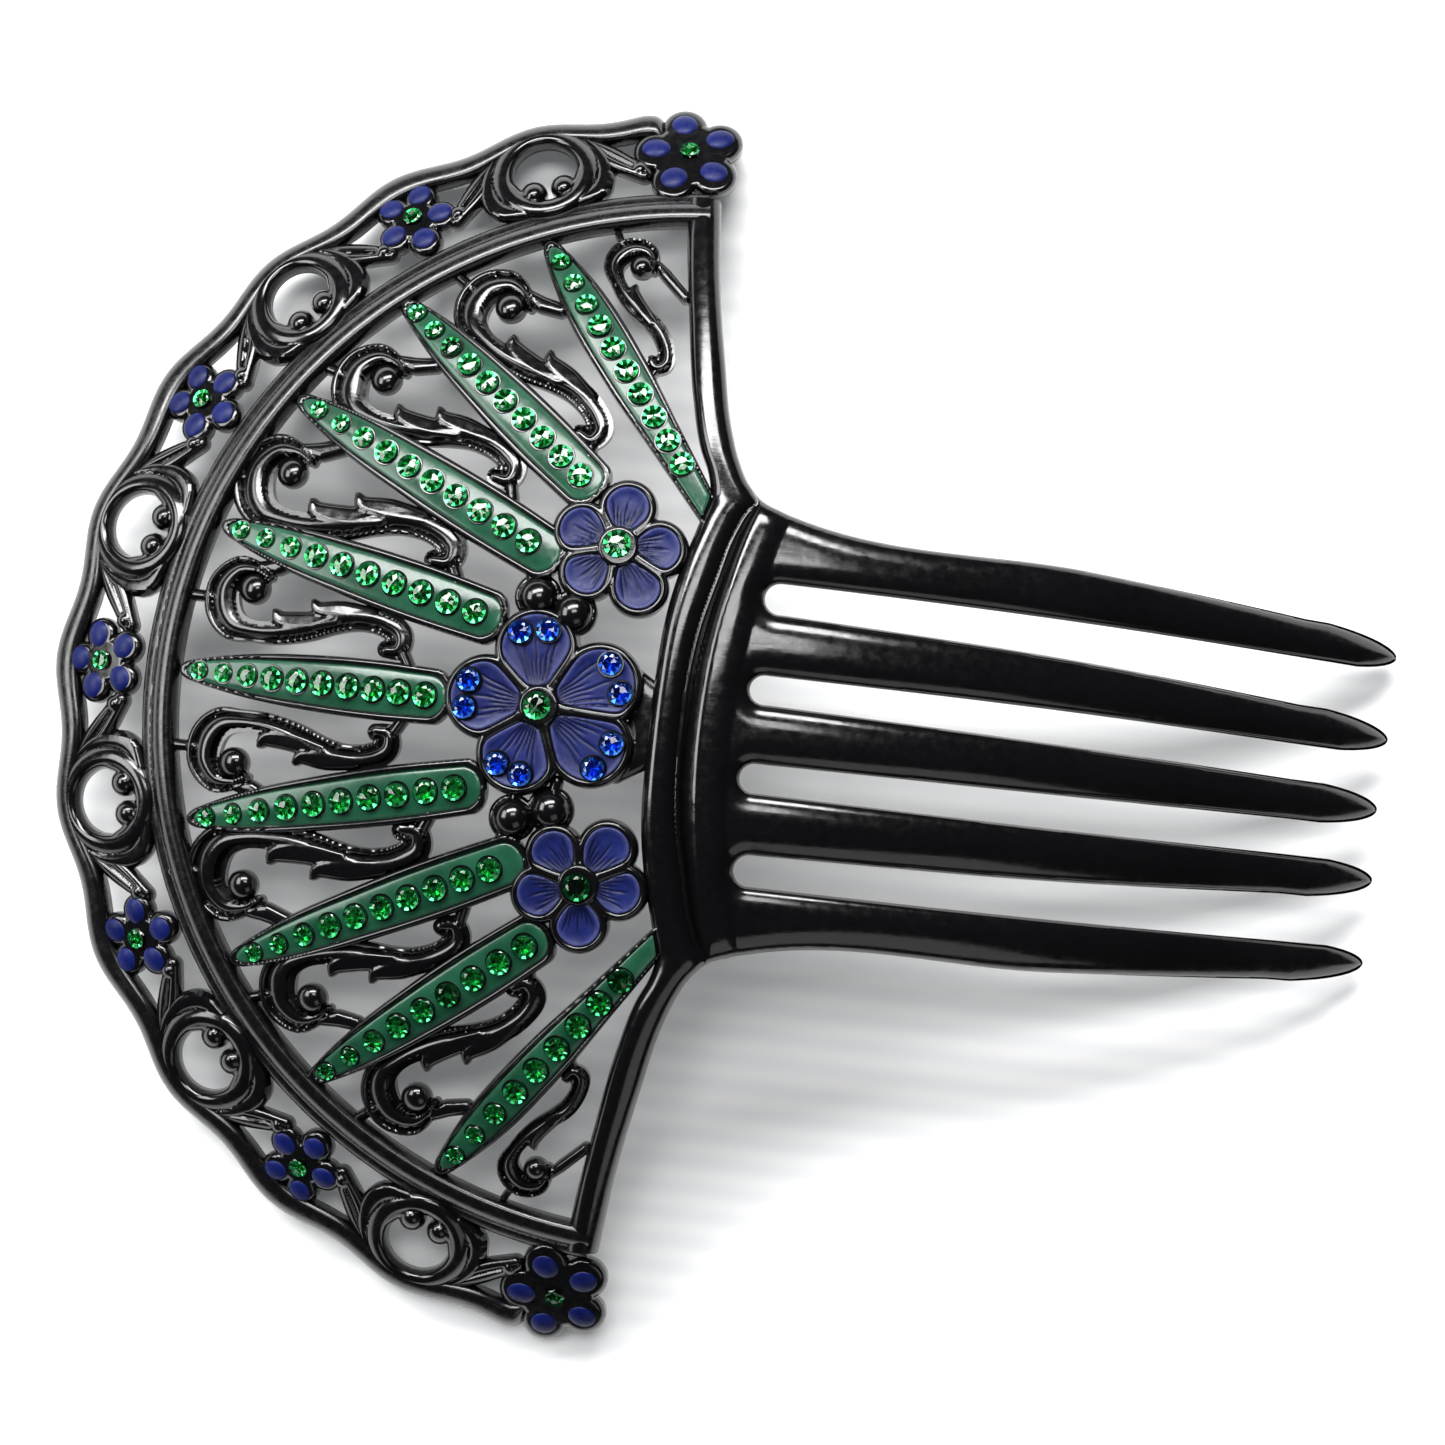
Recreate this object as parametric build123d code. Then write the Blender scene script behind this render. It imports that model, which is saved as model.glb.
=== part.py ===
"""Fan-shaped decorative hair comb: five tines, openwork fan, enamel and set stones.

The comb is drawn in plan (x towards the tine tips, y across, millimetres) and
every outline is pressed onto a dome that is curved along and across the comb.
The finished model stands on its lowest points, with its origin under the middle.
"""
from build123d import *
import math
import os

# ---------------------------------------------------------------- driving dimensions
RADIUS_ALONG = 170.0          # dome radius seen from the side
RADIUS_ACROSS = 135.0         # dome radius seen from the tine tips
BACK = -2.4                   # back face of the fan, measured from the dome
TINE_BACK = -2.8              # back face of the tines and shoulder

FAN_X = -3.4                  # centre of the arch, rim and border
ARCH_INNER = 64.5
ARCH_OUTER = 69.0
ARCH_HALF_ANGLE = 86.8
BORDER_RADIUS = 75.2          # circle that carries the border flowers and rings
BORDER_STEP = 13.85           # angle from a flower to the next ring
CORNER_ANGLE = 83.9
RIM_OUTER = 82.1
RIM_WAVE = 0.75               # scallop height each way
RIM_WIDTH = 3.6
RIM_HALF_ANGLE = 81.0

RING_HOLE = 4.4
RING_OUTER = 7.4
RING_GAP = 1.0                # gap between the two volutes of a ring
VOLUTE_RADIUS = 1.45
VOLUTE_OFFSET = 2.0
VOLUTE_INWARD = 3.7

COLLAR_X = 93.0               # centre of the collar's arcs
COLLAR_INNER = 96.3
COLLAR_OUTER = 99.8
COLLAR_HALF_WIDTH = 28.4

RAY_FOCUS_X = 16.6            # every ray points at this place on the comb's axis
RAY_ANGLES = (0.0, 13.1, 26.1, 39.0, 53.4)
RAY_TIPS = (84.2, 83.2, 82.0, 79.7, 74.6)       # distances from the focus
RAY_BASES = (48.4, 44.0, 41.0, 42.6, 31.0)
RAY_HALF_WIDTH = 3.6
RAY_BASE_HALF_WIDTH = 3.0
RAY_BORDER = 0.85
RAY_FIRST_STONES = (80.9, 79.9, 77.9, 76.4, 70.5)
RAY_LAST_STONES = (51.2, 47.5, 45.5, 45.8, 39.3)
FULL_ROW = 10
SHORT_ROW = 9

STONE_RADIUS = 1.55           # the usual 3.1 mm setting stone
ROW_START_RADII = (1.25, 1.25, 1.4)   # the smaller stones at the arch end of every row
CENTRE_STONE_RADIUS = 1.8
BLUE_STONE_RADIUS = 1.5
STONE_HEIGHT = 1.1
STONE_TURN = 37.0             # turns each stone's seam away from its ray's centre line
STONE_SEAT = 0.1              # height of the stones' flat backs over the dome

CENTRE_FLOWER = (-20.5, 0.0)
SIDE_FLOWER = (-13.4, 20.6)
BEADS = ((-22.4, 13.6), (-17.8, 12.1))
BEAD_RADIUS = 2.15

TINE_STATIONS = (8.0, 45.0, 75.0)
TINE_TIP_BEND = 86.0          # where the flanks turn in to the rounded tip
OUTER_TINE = {"outer": (26.5, 25.15, 23.4), "inner": (18.6, 18.55, 18.3), "tip": (89.0, 20.3), "round": 1.7}
INNER_TINE = {"outer": (14.7, 13.75, 12.2), "inner": (7.2, 7.3, 7.1), "tip": (88.6, 9.3), "round": 1.65}
MIDDLE_TINE = {"outer": (3.6, 3.1, 2.55), "inner": (-3.6, -3.1, -2.55), "tip": (88.0, 0.0), "round": 1.65}
SLOTS = (((7.1, 16.65), 1.95), ((6.4, 5.4), 1.8))  # round end of each slot and its radius

FACE_REACH = 60.0             # how far below the dome the outlines are extruded


# ---------------------------------------------------------------- the dome
def across_radius(y, lift):
    """Distance of the dome from its long axis of revolution at a given y."""
    return RADIUS_ALONG - RADIUS_ACROSS + math.sqrt((RADIUS_ACROSS + lift) ** 2 - y * y)


def dome_z(x, y, lift=0.0):
    """Height of the dome, raised by lift, over the plan point (x, y)."""
    return math.sqrt(across_radius(y, lift) ** 2 - x * x) - RADIUS_ALONG


def dome_location(x, y, lift=0.0):
    """Place on the dome with its Z axis along the dome's normal."""
    reach = across_radius(y, 0.0)
    around = math.sqrt(RADIUS_ACROSS ** 2 - y * y) / RADIUS_ACROSS
    z = dome_z(x, y)
    normal = Vector(x / reach * around, y / RADIUS_ACROSS, (z + RADIUS_ALONG) / reach * around)
    here = Vector(x, y, z) + normal * lift
    return Location(Plane(origin=here, x_dir=(1, 0, 0), z_dir=normal))


def dome_slab(low, high):
    """Layer of the dome between two lifts, as one doubly curved solid."""
    centre = (0, -RADIUS_ACROSS)
    half_angle = 40.0
    start = 90.0 - half_angle
    top = CenterArc(centre, RADIUS_ACROSS + high, start, 2 * half_angle)
    bottom = CenterArc(centre, RADIUS_ACROSS + low, start, 2 * half_angle)
    sides = [Line(top @ 0, bottom @ 0), Line(top @ 1, bottom @ 1)]
    profile = Plane.YZ * make_face([top, bottom] + sides)
    axis = Axis((0, 0, -RADIUS_ALONG), (0, 1, 0))
    sweep = 36.0
    return revolve(profile.rotate(axis, -sweep), axis, 2 * sweep)


SLABS = {}


def press(outline, low, high):
    """Raise a plan outline into a solid between two lifts of the dome."""
    if (low, high) not in SLABS:
        SLABS[(low, high)] = dome_slab(low, high)
    block = extrude(Pos(0, 0, -FACE_REACH) * outline, amount=FACE_REACH + 10, dir=(0, 0, 1))
    return block & SLABS[(low, high)]


# ---------------------------------------------------------------- plan outlines
def fan_point(radius, degrees):
    """Plan point at a radius and angle from the fan's apex direction."""
    angle = math.radians(degrees)
    return (FAN_X - radius * math.cos(angle), radius * math.sin(angle))


def clean(outline, count=1):
    """The largest separate areas of an outline, without slivers."""
    faces = sorted(outline.faces(), key=lambda face: -face.area)
    return Sketch() + faces[:count]


def disc(centre, radius):
    return Pos(centre[0], centre[1]) * Circle(radius)


def sector(centre, inner, outer, low_angle, high_angle):
    """Part of a flat ring between two angles in degrees."""
    span = high_angle - low_angle
    outside = CenterArc(centre, outer, low_angle, span)
    inside = CenterArc(centre, inner, low_angle, span)
    ends = [Line(outside @ 0, inside @ 0), Line(outside @ 1, inside @ 1)]
    return Sketch() + make_face([outside, inside] + ends)


def rim_outline():
    """Wavy outer band, with a bulge at every flower and every ring."""
    steps = int(2 * RIM_HALF_ANGLE / BORDER_STEP * 2)
    angles = [-RIM_HALF_ANGLE + 2 * RIM_HALF_ANGLE * i / steps for i in range(steps + 1)]

    def edge(inset):
        points = []
        for angle in angles:
            wave = RIM_WAVE * math.cos(2 * math.pi * angle / BORDER_STEP)
            points.append(fan_point(RIM_OUTER + wave - inset, angle))
        return Spline(*points)

    outside = edge(0.0)
    inside = edge(RIM_WIDTH)
    ends = [Line(outside @ 0, inside @ 0), Line(outside @ 1, inside @ 1)]
    return Sketch() + make_face([outside, inside] + ends)


def arch_outline():
    return sector((FAN_X, 0), ARCH_INNER, ARCH_OUTER, 180 - ARCH_HALF_ANGLE, 180 + ARCH_HALF_ANGLE)


def ring_outline(degrees):
    """Horseshoe ring whose two ends curl into volutes on the arch side."""
    centre = fan_point(BORDER_RADIUS, degrees)
    turn = 180 - degrees
    ring = Circle(RING_OUTER) - Circle(RING_HOLE)
    for side in (-1, 1):
        ring += Pos(-VOLUTE_INWARD, side * VOLUTE_OFFSET) * Circle(VOLUTE_RADIUS)
    ring -= Pos(-RING_OUTER, 0) * Rectangle(RING_OUTER, RING_GAP)
    return Pos(centre[0], centre[1]) * Rot(0, 0, turn) * ring


def leaf_outline(ring_degrees, side):
    """Pointed leaf that ties a ring's shoulder to the flower beside it."""
    tip = Vector(*fan_point(79.0, ring_degrees + side * 4.8))
    end = Vector(*fan_point(72.6, ring_degrees + side * 10.2))
    along = (end - tip).normalized()
    out = Vector(-along.Y, along.X) * 1.5
    middle = tip + (end - tip) * 0.6
    edges = [ThreePointArc(tip, middle + out, end), ThreePointArc(tip, middle - out, end)]
    return Sketch() + make_face(edges)


def lobed_outline(centre, first_angle, heart, lobe, reach):
    """Five round lobes about a centre."""
    shape = disc(centre, heart)
    for i in range(5):
        angle = math.radians(first_angle + 72 * i)
        shape += disc((centre[0] + reach * math.cos(angle), centre[1] + reach * math.sin(angle)), lobe)
    return shape


def petal_outline(centre, angle, near, far, half_width):
    """One egg-shaped petal, narrow at the flower's centre."""
    widest = near + (far - near) * 0.62
    edges = []
    for side in (-1, 1):
        edges.append(Spline((near, side * half_width * 0.28), (widest, side * half_width), (far, 0),
                            tangents=[(1, side * 0.45), (0, -side)]))
    edges.append(Line(edges[0] @ 0, edges[1] @ 0))
    return Pos(centre[0], centre[1]) * Rot(0, 0, angle) * (Sketch() + make_face(edges))


def ray_outline(index, inset):
    """Spear-shaped ray: pointed at the arch, broad towards the flowers."""
    tip = RAY_TIPS[index] - inset * 2.0
    base = RAY_BASES[index] + inset * 0.8
    length = tip - base
    broad = tip - 0.62 * length
    edges = []
    for side in (-1, 1):
        edges.append(Spline((tip, side * 0.25), (tip - 0.2 * length, side * (0.52 * RAY_HALF_WIDTH - inset * 0.6)),
                            (broad, side * (RAY_HALF_WIDTH - inset)), (base, side * (RAY_BASE_HALF_WIDTH - inset))))
    edges.append(Line(edges[0] @ 0, edges[1] @ 0))
    edges.append(Line(edges[0] @ 1, edges[1] @ 1))
    return Sketch() + make_face(edges)


def place_ray(shape, index, side):
    """Turn a shape drawn along the focus line onto its ray."""
    return Pos(RAY_FOCUS_X, 0) * Rot(0, 0, 180 - side * RAY_ANGLES[index]) * shape


SCROLL_ENDS = (               # big ball and small ball of each scroll
    ((-59.2, 11.3), (-41.0, 5.6)),
    ((-56.5, 26.6), (-36.4, 17.4)),
    ((-46.0, 39.8), (-30.0, 28.6)),
    ((-31.3, 50.8), (-20.0, 35.2)),
    ((-15.2, 57.9), (-12.2, 45.3)),
)
SCROLL_LENGTH = 20.0
SCROLL_LINE = ((0.4, 1.6), (-2.6, 1.3), (-4.3, -1.8), (-2.6, -4.8), (1.2, -5.4), (6.5, -2.9),
               (12.2, 1.2), (17.0, 3.2), (20.6, 2.6), (21.4, 0.2), (20.0, -0.9))
SCROLL_HALF_WIDTHS = (0.7, 1.0, 1.4, 1.4, 1.4, 1.5, 1.2, 1.0, 0.9, 0.8, 0.6)
LEAF_TIPS = ((3.9, -2.2), (8.0, 0.6))
BALL_RADIUS = 1.75
SMALL_BALL_RADIUS = 1.3


def scroll_outline(index):
    """S-shaped scroll: a big curl with a ball, a leafy stem and a small curl."""
    big, small = (Vector(*point) for point in SCROLL_ENDS[index])
    scale = (small - big).length / SCROLL_LENGTH
    stem = Spline(*SCROLL_LINE)
    sides = {-1: [], 1: []}
    for i, half in enumerate(SCROLL_HALF_WIDTHS):
        point = Vector(*SCROLL_LINE[i])
        t = stem.param_at_point(point)
        tangent = stem.tangent_at(t)
        for side in sides:
            sides[side].append(point + Vector(-tangent.Y, tangent.X) * (side * half))
    edges = [Spline(*sides[-1]), Spline(*sides[1])]
    edges.append(Line(edges[0] @ 0, edges[1] @ 0))
    edges.append(Line(edges[0] @ 1, edges[1] @ 1))
    shape = Sketch() + make_face(edges)
    for x, y in LEAF_TIPS:
        shape += make_face(Polyline((x, y), (x + 4.2, y + 0.9), (x + 3.4, y - 1.9), (x + 0.6, y - 1.5), close=True))
    shape = scale_plan(shape, scale)
    shape += Circle(BALL_RADIUS)
    shape += Pos(SCROLL_LENGTH * scale, 0) * Circle(SMALL_BALL_RADIUS)
    turn = math.degrees(math.atan2(small.Y - big.Y, small.X - big.X))
    return Pos(big.X, big.Y) * Rot(0, 0, turn) * shape


def scale_plan(shape, factor):
    return scale(shape, by=(factor, factor, 1))


def tine_outline(tine):
    """One tine from the shoulder to its rounded point."""
    edges = []
    tip_x, tip_y = tine["tip"]
    starts = []
    for name, side in (("outer", 1), ("inner", -1)):
        flank = Spline(*zip(TINE_STATIONS, tine[name]))
        bend = (TINE_TIP_BEND, tip_y + side * tine["round"])
        edges.append(flank)
        edges.append(Bezier(flank @ 1, bend, (tip_x, tip_y + side * 1.1), (tip_x, tip_y)))
        starts.append(flank @ 0)
    edges.append(Line(*starts))
    return Sketch() + make_face(edges)


def shoulder_outline():
    """Plate between the collar and the tines, with the slots' round ends."""
    first = TINE_STATIONS[0]
    top = COLLAR_HALF_WIDTH
    arc_x = COLLAR_X - math.sqrt(COLLAR_INNER ** 2 - top ** 2)
    edges = [ThreePointArc((arc_x, -top), (COLLAR_X - COLLAR_INNER, 0), (arc_x, top))]
    for side in (-1, 1):
        edges.append(Spline((arc_x, side * top), (4.0, side * 27.4), (first, side * OUTER_TINE["outer"][0]),
                            tangents=[(1, -side * 0.5), (1, 0)]))
    edges.append(Line((first, -OUTER_TINE["outer"][0]), (first, OUTER_TINE["outer"][0])))
    plate = Sketch() + make_face(edges)
    for (x, y), radius in SLOTS:
        for side in (-1, 1):
            plate -= disc((x, side * y), radius)
            plate -= Pos(x + 2, side * y) * Rectangle(4, 2 * radius)
    return plate


def tine_comb_outline():
    comb = shoulder_outline() + tine_outline(MIDDLE_TINE)
    for tine in (OUTER_TINE, INNER_TINE):
        one = tine_outline(tine)
        comb = comb + one + mirror(one, Plane.XZ)
    return comb


def collar_outline():
    half = math.degrees(math.asin(COLLAR_HALF_WIDTH / COLLAR_OUTER))
    return sector((COLLAR_X, 0), COLLAR_INNER, COLLAR_OUTER, 180 - half, 180 + half)


def side_rail_outline(side):
    """Rail from the arch's end down to the collar, flaring into the shoulder."""
    outer = Spline((-6.9, 65.6), (-6.2, 55.0), (-4.7, 43.0), (-2.5, 33.5), (1.3, 28.4))
    inner = Spline((-10.6, 63.2), (-10.0, 55.0), (-7.6, 43.0), (-5.3, 34.0), (-4.0, 26.0))
    ends = [Line(outer @ 0, inner @ 0), Line(outer @ 1, inner @ 1)]
    rail = Sketch() + make_face([outer, inner] + ends)
    if side < 0:
        rail = mirror(rail, Plane.XZ)
    return rail


# ---------------------------------------------------------------- small solids
def stone(radius):
    """Set stone: flat back, short girdle and a sloping crown under a flat table."""
    profile = Polyline((0, 0), (radius, 0), (radius, 0.35 * STONE_HEIGHT), (0.55 * radius, STONE_HEIGHT),
                       (0, STONE_HEIGHT), close=True)
    return revolve(Plane.XZ * make_face(profile), Axis.Z)


def stone_at(point, radius, seat=STONE_SEAT):
    return dome_location(point[0], point[1], seat) * Rot(0, 0, STONE_TURN) * stone(radius)


def dome_petal(point, radius, seat):
    """Low round dome of enamel."""
    height = 0.5 * radius
    arc = ThreePointArc((radius, 0), (radius * 0.75, height * 0.5), (0, height))
    profile = make_face([arc, Line((0, height), (0, 0)), Line((0, 0), (radius, 0))])
    return dome_location(point[0], point[1], seat) * revolve(Plane.XZ * profile, Axis.Z)


def bead(point):
    """Polished half bead standing on a short post."""
    arc = ThreePointArc((BEAD_RADIUS, 0), (BEAD_RADIUS * 0.7071, BEAD_RADIUS * 0.7071), (0, BEAD_RADIUS))
    edges = [arc, Line((0, BEAD_RADIUS), (0, BACK)), Line((0, BACK), (BEAD_RADIUS, BACK))]
    edges.append(Line((BEAD_RADIUS, BACK), (BEAD_RADIUS, 0)))
    return dome_location(point[0], point[1]) * revolve(Plane.XZ * make_face(edges), Axis.Z)


def row_points(index, side, count):
    """Plan places of one ray's stones, from the arch inwards."""
    first, last = RAY_FIRST_STONES[index], RAY_LAST_STONES[index]
    angle = math.radians(RAY_ANGLES[index])
    points = []
    for i in range(count):
        reach = first + (last - first) * i / (count - 1)
        points.append((RAY_FOCUS_X - reach * math.cos(angle), side * reach * math.sin(angle)))
    return points


# ---------------------------------------------------------------- assembly
NODES = {}


def keep(name, shapes):
    """Store the separate solids of one node."""
    solids = []
    for shape in shapes:
        solids.extend(shape.solids())
    NODES[name] = solids


rim = rim_outline()
arch = arch_outline()
collar = collar_outline()
tine_comb = tine_comb_outline()
keep("tine_comb", [press(tine_comb, TINE_BACK, 0.4)])
keep("collar_rail", [press(collar, TINE_BACK, 1.2)])
keep("arch_rail", [press(arch, BACK, 1.2)])
keep("scalloped_rim", [press(rim, BACK, 1.0)])
side_rails = {}
for side, name in ((1, "side_rail_left"), (-1, "side_rail_right")):
    side_rails[side] = side_rail_outline(side) - arch - collar - tine_comb
    keep(name, [press(side_rails[side], BACK, 0.9)])
frame_plan = arch + collar + side_rails[1] + side_rails[-1]

# border: flowers and rings alternate along the border circle
flower_angles = [-CORNER_ANGLE, -4 * BORDER_STEP, -2 * BORDER_STEP, 0, 2 * BORDER_STEP, 4 * BORDER_STEP, CORNER_ANGLE]
ring_angles = [(2 * i - 5) * BORDER_STEP for i in range(6)]
rings = []
leaves = []
border_plan = Sketch()
centre_stones = []
for number, degrees in enumerate(flower_angles, start=1):
    corner = abs(degrees) == CORNER_ANGLE
    centre = fan_point(BORDER_RADIUS, degrees)
    outward = 180 - degrees
    petal_turn = outward if corner or degrees == 0 else outward + 180
    heart, lobe, reach, petal = (4.0, 2.75, 4.7, 2.1) if corner else (3.6, 2.2, 3.8, 1.65)
    outline = lobed_outline(centre, petal_turn, heart, lobe, reach) - rim - frame_plan
    border_plan += outline
    keep(f"border_flower_{number}", [press(outline, BACK, 0.6)])
    petals = []
    for i in range(5):
        angle = math.radians(petal_turn + 72 * i)
        point = (centre[0] + reach * math.cos(angle), centre[1] + reach * math.sin(angle))
        petals.append(dome_petal(point, petal, 1.05))
    keep(f"border_petals_{number}", petals)
    centre_stones.append(stone_at(centre, STONE_RADIUS, 0.65))
for degrees in ring_angles:
    ring = clean(ring_outline(degrees) - rim - frame_plan, 2)
    rings.append(press(ring, BACK, 0.7))
    for side in (-1, 1):
        hole = disc(fan_point(BORDER_RADIUS, degrees), RING_OUTER)
        leaf = leaf_outline(degrees, side) - hole - rim - frame_plan - border_plan
        leaves.append(press(clean(leaf), BACK, 0.6))
keep("border_rings", rings)
keep("border_leaves", leaves)

# three large flowers, with enamel petals in raised black outlines
flowers = (
    ("centre_flower", CENTRE_FLOWER, 180.0, {"heart": 4.5, "lobe": 5.0, "reach": 7.3}),
    ("side_flower_left", SIDE_FLOWER, 15.0, {"heart": 3.4, "lobe": 3.3, "reach": 4.9}),
    ("side_flower_right", (SIDE_FLOWER[0], -SIDE_FLOWER[1]), -15.0, {"heart": 3.4, "lobe": 3.3, "reach": 4.9}),
)
blue_stones = []
flower_plan = Sketch()
for name, centre, turn, size in flowers:
    outline = lobed_outline(centre, turn, size["heart"], size["lobe"], size["reach"]) - frame_plan - flower_plan
    flower_plan += outline
    far = size["reach"] + size["lobe"] - 0.9
    half_width = size["lobe"] - 0.9
    petals = [petal_outline(centre, turn + 72 * i, 2.6, far, half_width) for i in range(5)]
    middle = stone_at(centre, CENTRE_STONE_RADIUS, 0.9)
    centre_stones.append(middle)
    stones = [middle]
    if name == "centre_flower":
        for i in range(5):
            for spread in (-1, 1):
                angle = math.radians(turn + 72 * i + spread * 11.5)
                point = (centre[0] + 9.2 * math.cos(angle), centre[1] + 9.2 * math.sin(angle))
                blue_stones.append(stone_at(point, BLUE_STONE_RADIUS, 0.6))
        stones += blue_stones
    pockets = [press(petal, 0.5, 3.0) for petal in petals]
    keep(name, [press(outline, BACK, 1.3) - pockets - [middle]])
    enamel = [press(petal, 0.5, 1.0) for petal in petals]
    if name == "centre_flower":
        enamel = [petal - blue_stones for petal in enamel]
    keep(f"{name}_enamel", enamel)
keep("blue_stones", blue_stones)
keep("flower_centre_stones", centre_stones)
for name, solids in list(NODES.items()):
    if name.startswith("border_flower_"):
        number = int(name[-1])
        NODES[name] = (solids[0] - [centre_stones[number - 1]]).solids()

bead_points = list(BEADS) + [(x, -y) for x, y in BEADS]
beads = [bead(point) for point in bead_points]
bead_plan = Sketch()
for point in bead_points:
    bead_plan += disc(point, BEAD_RADIUS)
keep("beads", [b - NODES["centre_flower"] - NODES["side_flower_left"] - NODES["side_flower_right"] for b in beads])

# rays 1 to 9 run from the left side rail round to the right one
ray_plan = Sketch()
for number in range(1, 10):
    index = abs(5 - number)
    side = 1 if number <= 5 else -1
    outline = clean(place_ray(ray_outline(index, 0.0), index, side) - frame_plan - flower_plan - bead_plan)
    field = place_ray(ray_outline(index, RAY_BORDER), index, side) & outline
    ray_plan += outline
    points = row_points(index, side, SHORT_ROW if number >= 8 else FULL_ROW)
    radii = list(ROW_START_RADII) + [STONE_RADIUS] * (len(points) - len(ROW_START_RADII))
    stones = [stone_at(point, radius) for point, radius in zip(points, radii)]
    keep(f"ray_{number}", [press(outline, BACK, 0.7) - press(field, 0.0, 3.0) - stones])
    keep(f"ray_{number}_enamel", [press(field, 0.0, 0.45) - stones])
    keep(f"ray_{number}_stones", stones)

# ten scrolls, five on each side of the comb's axis
scrolls = []
for index in range(len(SCROLL_ENDS)):
    one = scroll_outline(index)
    for side in (1, -1):
        outline = one if side > 0 else mirror(one, Plane.XZ)
        scrolls.append(press(clean(outline - frame_plan - ray_plan - flower_plan), BACK, 0.5))
keep("scrolls", scrolls)

# ---------------------------------------------------------------- place and write
whole = Compound(children=[Compound(solids) for solids in NODES.values()])
box = whole.bounding_box()
shift = Pos(-(box.min.X + box.max.X) / 2, -(box.min.Y + box.max.Y) / 2, -box.min.Z)
os.makedirs("parts", exist_ok=True)
for name, solids in NODES.items():
    placed = [shift * solid for solid in solids]
    export_step(placed[0] if len(placed) == 1 else Compound(placed), f"parts/{name}.step")
    print(name, len(placed))
print("size", box.size, "shift", shift.position)
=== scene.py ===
"""Fan-shaped hair comb: moulded black celluloid, enamel fields and set stones.

The comb is drawn in plan millimetres (x towards the tine tips, y across) and laid
on the same dome as the CAD model. The moulding is made of reliefs: an outline with a
height over the dome, turned into a closed mesh whose back follows the dome.
"""
import bpy
import math
import numpy as np
from mathutils import Matrix, Vector


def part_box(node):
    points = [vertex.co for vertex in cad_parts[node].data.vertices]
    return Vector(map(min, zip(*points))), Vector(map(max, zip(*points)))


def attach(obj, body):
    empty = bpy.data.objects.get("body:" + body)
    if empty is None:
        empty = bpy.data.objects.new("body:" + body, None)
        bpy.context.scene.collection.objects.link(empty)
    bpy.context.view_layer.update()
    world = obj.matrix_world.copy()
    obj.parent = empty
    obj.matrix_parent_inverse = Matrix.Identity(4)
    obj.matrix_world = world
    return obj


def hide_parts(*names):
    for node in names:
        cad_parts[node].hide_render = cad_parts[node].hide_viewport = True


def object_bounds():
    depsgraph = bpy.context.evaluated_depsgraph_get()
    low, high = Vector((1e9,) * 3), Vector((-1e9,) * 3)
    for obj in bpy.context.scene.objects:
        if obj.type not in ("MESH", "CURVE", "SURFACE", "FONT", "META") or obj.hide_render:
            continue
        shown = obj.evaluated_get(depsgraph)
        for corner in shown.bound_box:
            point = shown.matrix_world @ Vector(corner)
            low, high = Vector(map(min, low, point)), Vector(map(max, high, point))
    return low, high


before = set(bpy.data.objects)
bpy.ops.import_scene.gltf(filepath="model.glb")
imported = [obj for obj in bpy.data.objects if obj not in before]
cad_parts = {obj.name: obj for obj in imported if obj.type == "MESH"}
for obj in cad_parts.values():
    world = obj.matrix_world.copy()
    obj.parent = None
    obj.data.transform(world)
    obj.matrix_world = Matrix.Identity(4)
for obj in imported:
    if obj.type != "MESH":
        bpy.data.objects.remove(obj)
cad_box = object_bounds()

# ---------------------------------------------------------------- driving dimensions, millimetres
MM = 0.001
RADIUS_ALONG = 170.0
RADIUS_ACROSS = 135.0
BACK = -2.4
BACK_BEVEL = 0.25
OUTER_TIP_X = 89.0
COMB_TOP_LIFT = 0.4

FAN_X = -3.4
ARCH_INNER = 64.4
ARCH_OUTER = 69.2
ARCH_HALF_ANGLE = 86.4
BORDER_RADIUS = 75.2
BORDER_STEP = 13.85
CORNER_ANGLE = 83.9
RIM_OUTER = 82.1
RIM_WAVE = 0.75
RIM_WIDTH = 3.7
RIM_HALF_ANGLE = 81.4
FLOWER_ANGLES = (0.0, 2 * BORDER_STEP, 4 * BORDER_STEP, CORNER_ANGLE)
RING_ANGLES = (BORDER_STEP, 3 * BORDER_STEP, 5 * BORDER_STEP)
RING_INNER = 4.2
RING_ROLL = 3.1
# Lines are points (x, y, half width). These two are drawn from a ring's centre, inward and across.
RING_SHOULDER = ((-5.0, 5.2, 0.6), (-1.6, 7.3, 1.0), (1.8, 7.8, 1.3), (4.4, 6.6, 1.4), (5.6, 3.6, 0.9))
RING_STEM = ((0.8, 4.9, 0.8), (2.6, 4.3, 1.1), (3.9, 3.3, 1.2), (4.2, 2.1, 0.9))
SMALL_FLOWER = {"heart": 3.2, "lobe": 2.25, "reach": 3.5, "petal": 1.6}
CORNER_FLOWER = {"heart": 5.3, "lobe": 3.05, "reach": 4.45, "petal": 1.8}
PETAL_RINGS = 7
PETAL_SIDES = 28

COLLAR_X = 93.0
SHOULDER = ((1.4, 30.6), (3.3, 28.6), (5.8, 27.5), (8.3, 26.8), (45.0, 25.15), (75.0, 23.4))
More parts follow.
